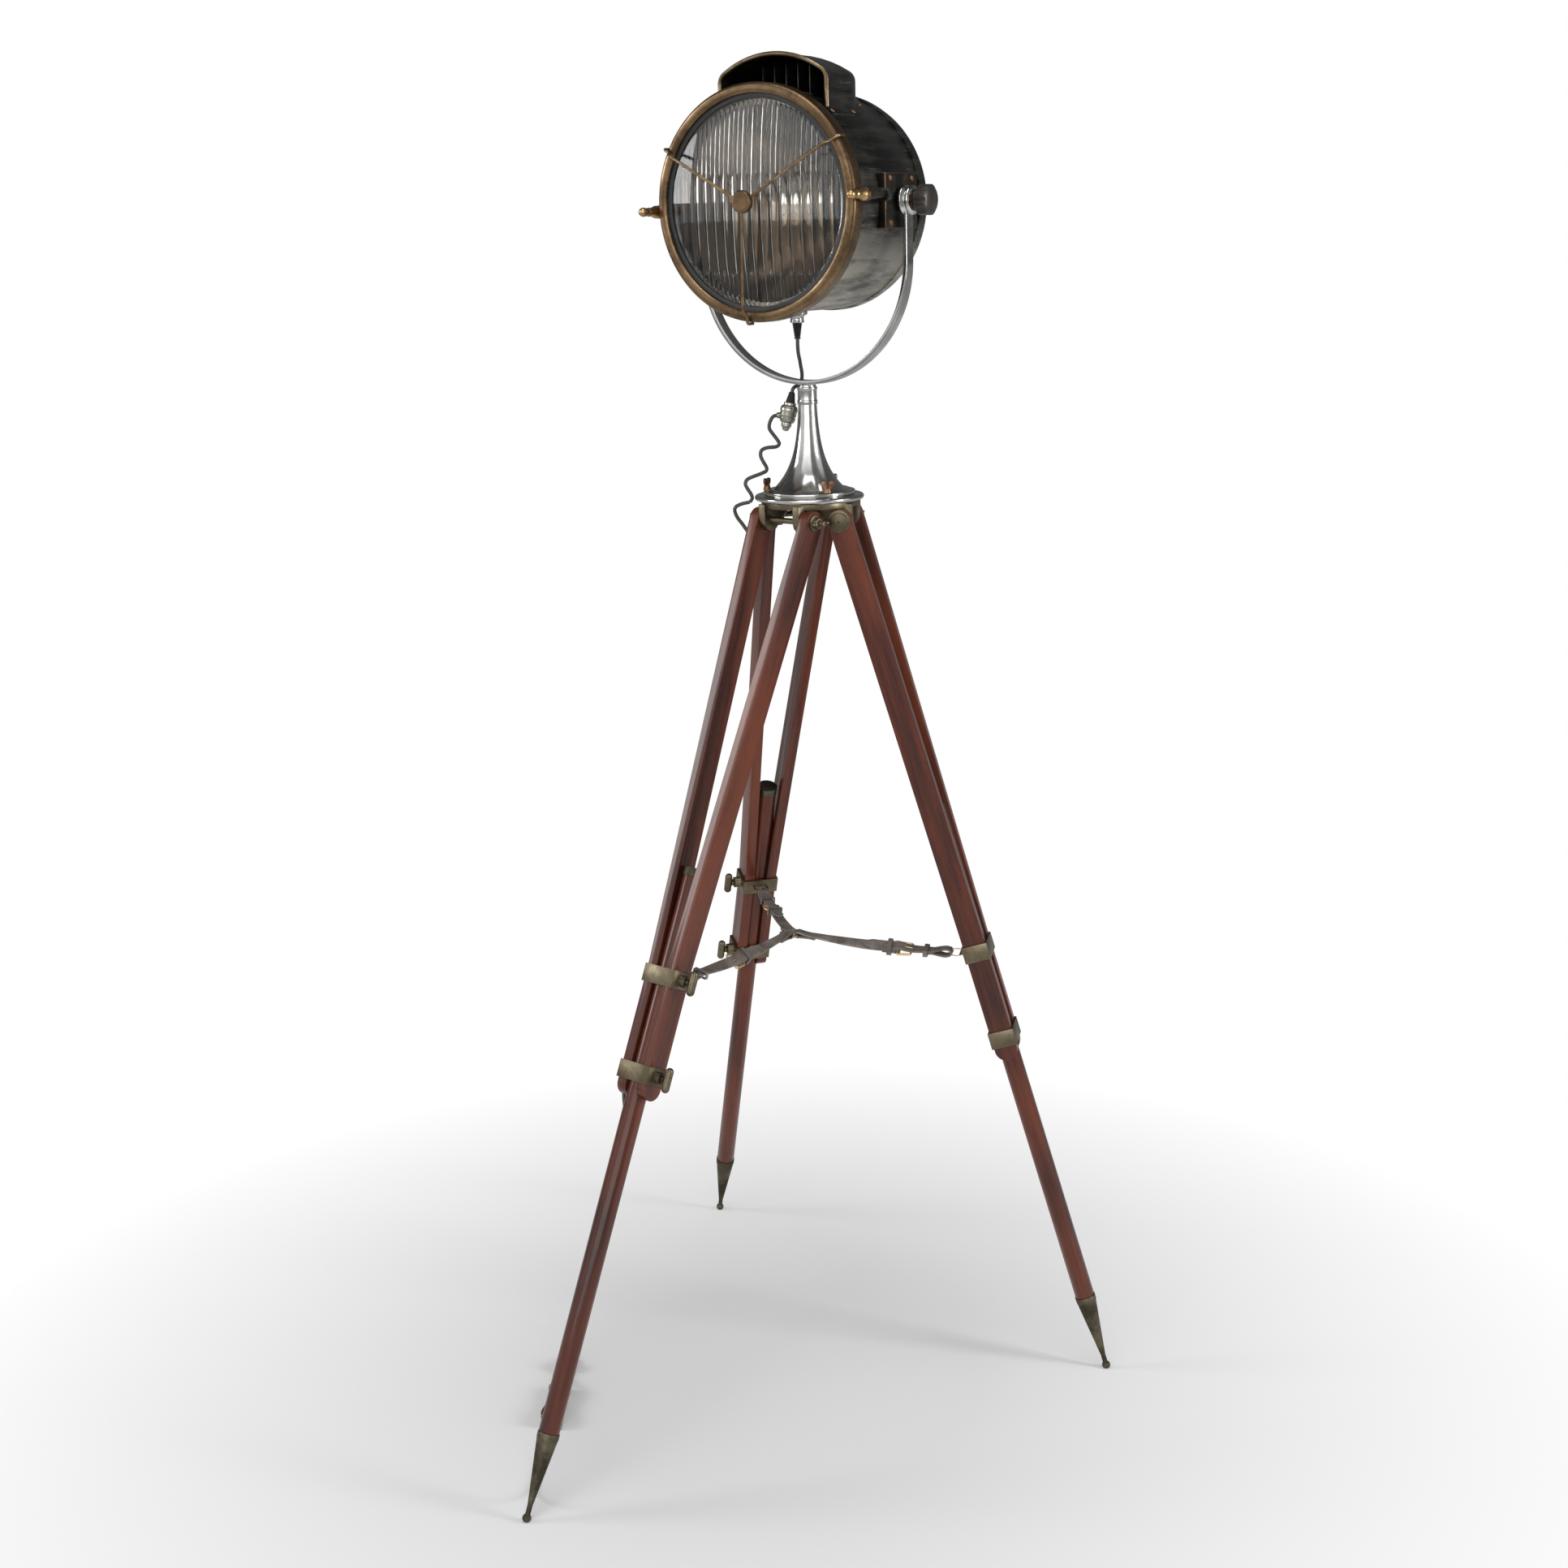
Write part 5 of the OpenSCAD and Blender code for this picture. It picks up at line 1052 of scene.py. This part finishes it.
def ribbon(name, line, width, pointed=0.0):
    # a flat band along points (x, z) of its own side view; the last part may narrow to a tip
    spots = smoothed([(x, 0, z) for x, z in line], 0.0012)
    half, thick, soft = width / 2, strap["thickness"] / 2, strap["thickness"] * 0.28
    upper = [(half, thick - soft), (half - soft, thick), (-half + soft, thick), (-half, thick - soft)]
    section = [(-across, -out) for across, out in upper] + upper
    rings, left = [], lengthOf(spots)
    for k, (spot, ahead) in enumerate(zip(spots, headings(spots))):
        left -= (spot - spots[k - 1]).length if k else 0
        narrow = math.sqrt(max(0.03, min(1.0, left / pointed))) if pointed else 1.0
        upwards = Vector((-ahead.z, 0, ahead.x))
        rings.append([spot + Vector((0, across * narrow, 0)) + upwards * out for across, out in section])
    return skinned(name, rings, merge=1e-7)


def keeperBand(x, low, high):  # a thin band round the strap
    half, wall = strap["width"] / 2 + keeper["band"], keeper["wall"]
    low, high = low - keeper["band"], high + keeper["band"]
    section = [(-keeper["half"], 0), (keeper["half"], 0), (keeper["half"], wall), (-keeper["half"], wall)]
    rings = [[(x + along, y * (half + out), z + up * out) for along, out in section]
             for y, z, up in ((-1, low, -1), (1, low, -1), (1, high, 1), (-1, high, 1))]
    return softEdges(skinned("keeper", rings, False, True, 1e-7), keeper["edge"])


def makeLeather(name, length, at):  # one from the triangle and one from the eye meet in the buckle
    lap, top, thick = strap["lap"], strap["top"], strap["thickness"] / 2
    ringTurn = strap["ringWire"] / 2 + thick + 0.0002
    barTurn = buckle["wire"] / 2 + thick + 0.0002
    near, far = at - buckle["half"], at + buckle["half"]
    inner = [(0.026, -lap), (0.018, -lap), (0.010, -lap - 0.0006), *arc((0, 0), ringTurn, -70, -290),
             (0.010, lap + 0.0006), (0.018, lap), (0.030, lap), (at * 0.6, lap * 0.5), (at - 0.034, lap),
             (near - 0.008, lap + 0.0004), *arc((near, 0), barTurn, 80, -80), (near - 0.008, -lap - 0.0004),
             (near - 0.022, -lap)]
    outer = [(length - 0.046, -lap), (length - 0.040, -lap), (length - 0.031, -0.0036),
             (length - 0.022, -0.0052), *arc((length - 0.0175, 0), 0.0046, -60, 60),
             (length - 0.022, 0.0052), (length - 0.031, 0.0036), (length - 0.040, lap), (length - 0.050, lap)]
    if far < length - 0.066:
        outer.append(((far + length - 0.050) / 2 + 0.004, lap * 0.8))
    outer += [(far + 0.004, 0.0012), (at + 0.002, 0.0030), (near, top + 0.0024), (near - 0.010, top + 0.0002),
              (near - 0.026, top), (at - 0.062, top)]
    parts = [ribbon("inner", inner, strap["width"]),
             ribbon("outer", outer, strap["width"] * strap["outer"], strap["tip"]),
             keeperBand(near - 0.012, -lap - thick, top + thick),
             keeperBand(length - 0.050, -lap - thick, lap + thick)]
    return joined(name, [settle(part) for part in parts])


def makeStitches(name, length):
    height, size = strap["lap"] + strap["thickness"] / 2, thread["length"]
    points = []
    for start, end, share in ((0.008, 0.026, 0.38), (length - 0.049, length - 0.037, 0.36)):
        for across in (-strap["width"] * share, strap["width"] * share):
            for k in range(int((end - start) / thread["pitch"])):
                x = start + thread["pitch"] * k
                points += [(x, across, height), (x + size, across, height)]
    edges = [(k, k + 1) for k in range(0, len(points), 2)]
    return settle(makeWith(sweep, newPiece(name, points, [], edges),
                           {"Thickness": thread["thickness"], "Sides": 6, "Finish": finishes["thread"]}))


def makeBuckle(name, length, at):  # the frame, its prong and the link to the eye
    half, wire, corner = buckle["half"], buckle["wire"], buckle["corner"]
    wide = strap["width"] / 2 + wire / 2 + buckle["gap"]
    outline = []
    for sx, sy, start in ((1, 1, 0), (-1, 1, 90), (-1, -1, 180), (1, -1, 270)):
        outline += [(x, y, 0) for x, y in arc((at + sx * (half - corner), sy * (wide - corner)), corner,
                                              start, start + 90, 4)]
    prong = [(at - half + wire * 0.1, 0, wire * 0.72), (at - half * 0.4, 0, 0.0042),
             (at + half * 0.5, 0, 0.0032), (at + half + 0.001, 0, wire * 0.72)]
    turns = [polar(1, 360 * k / link["parts"]) for k in range(link["parts"])]
    ring = [(length - link["back"] + link["radius"] * turn.x, link["swing"] * turn.y, link["swing"] * turn.y)
            for turn in turns]
    parts = [bar("frame", outline, wire, "buckleBrass", 12, True),
             bar("prong", smoothed(prong, 0.001), buckle["prong"], "buckleBrass", 10),
             bar("link", ring, link["wire"], "buckleBrass", 10, True)]
    return joined(name, [settle(part) for part in parts])


def makeStrap(name):
    start = Vector(strap["ring"]) + outwardsOf(name) * strap["ringHalf"]
    end = columnPlace.inverted() @ legPlace(name) @ Vector((strap["eyeOut"], 0, -strap["eyeDown"]))
    ahead = (end - start).normalized()
    across = Vector((0, 0, 1)).cross(ahead).normalized()
    place = columnPlace @ axesAt(start, ahead, across, ahead.cross(across))
    length, roll = (end - start).length, math.radians(strap["roll"][name])
    at = length * strap["buckle"][name]
    for piece, finish, nodes in (
        (makeLeather(name + "_strap_leather", length, at), "leather", [name + "_strap"]),
        (makeStitches(name + "_stitches", length), "thread", []),
        (makeBuckle(name + "_buckle", length, at), "buckleBrass", ["strap_hardware"]),
    ):
        for vertex in piece.data.vertices:  # rolled about its length and sagging in its middle
            share = min(1.0, max(0.0, vertex.co.x / length))
            turn = Matrix.Rotation(roll * math.sin(math.pi * share) ** 2, 3, "X")
            vertex.co = turn @ vertex.co - Vector((0, 0, 4 * strap["sag"] * share * (1 - share)))
        piece.data.transform(place)
        dressed(piece, finish, None, nodes)
        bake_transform(piece)


def makeTriangle():
    corner = strap["ringCorner"]
    line = []
    for name in legNames:
        out = outwardsOf(name)
        side = math.degrees(math.atan2(out.y, out.x))
        spot = Vector(strap["ring"]) + polar(2 * (strap["ringHalf"] - corner), side + 60)
        line += [spot + polar(corner, side + 15 * k) for k in range(9)]
    piece = bar("strap_triangle", line, strap["ringWire"], "rimBronze", 14, True)
    dressed(settle(piece, columnPlace), "rimBronze", "base", ["strap_hardware"])


for make in (makeColumn, makePlate, makeYoke, makeLens, makeReflector, makeBezel, makeGuard, makeThumbNuts,
             makeScrews, makeHoodRim, makeGland, makeTriangle):
    make()
for name in legNames:
    makeStrap(name)
print("main pieces made")


# CAD nodes that keep their shape, with their edges rounded
onHead = {  # finish, edge, and the segments of a wide edge
    "yoke_knob_left": ("knobBlack", 0.0009), "yoke_knob_right": ("knobBlack", 0.0009),
    "drum": ("drumPatina", 0.0004), "rear_cover": ("drumPatina", 0.0005), "front_ring": ("darkSteel", 0.0004),
    "gasket": ("blackRubber", 0.0004), "vent_hood": ("drumPatina", 0.0006),
    "bezel_bolts": ("darkSteel", 0.0005), "lampholder": ("ceramic", 0.0008), "bulb": ("silveredBulb", 0.0004),
    "inner_lead": ("cordBlack", 0.0002),
}
onColumn = {"hinge_casting": ("oldBrass", 0.0012), "leg_axles": ("oldBrass", 0.0005)}
wingScrews = {"plate_wing_screw_%d" % k: ("copperBrass", 0.0006) for k in (1, 2, 3)}
onLeg = {
    "axle_wing_nut_%s": ("oldBrass", 0.0006), "%s_rails": ("mahogany", 0.0024, 4),
    "%s_pole": ("mahogany", 0.0006), "%s_rail_fittings": ("oldBrass", 0.0007),
    "%s_clamp_screw_upper": ("oldBrass", 0.0008), "%s_clamp_screw_lower": ("oldBrass", 0.0008),
    "%s_ferrules": ("footBronze", 0.0005),
}
groups = [(onColumn, columnPlace), (onHead, headPlace), (wingScrews, columnPlace)]
groups += [({node % name: values for node, values in onLeg.items()}, legPlace(name)) for name in legNames]
for group, place in groups:
    for node, values in group.items():
        rounded(node, place, *values)
rounded("side_brackets", headPlace, "darkSteel", 0.0011, 2, "copperBrass")
print("rounded nodes made")
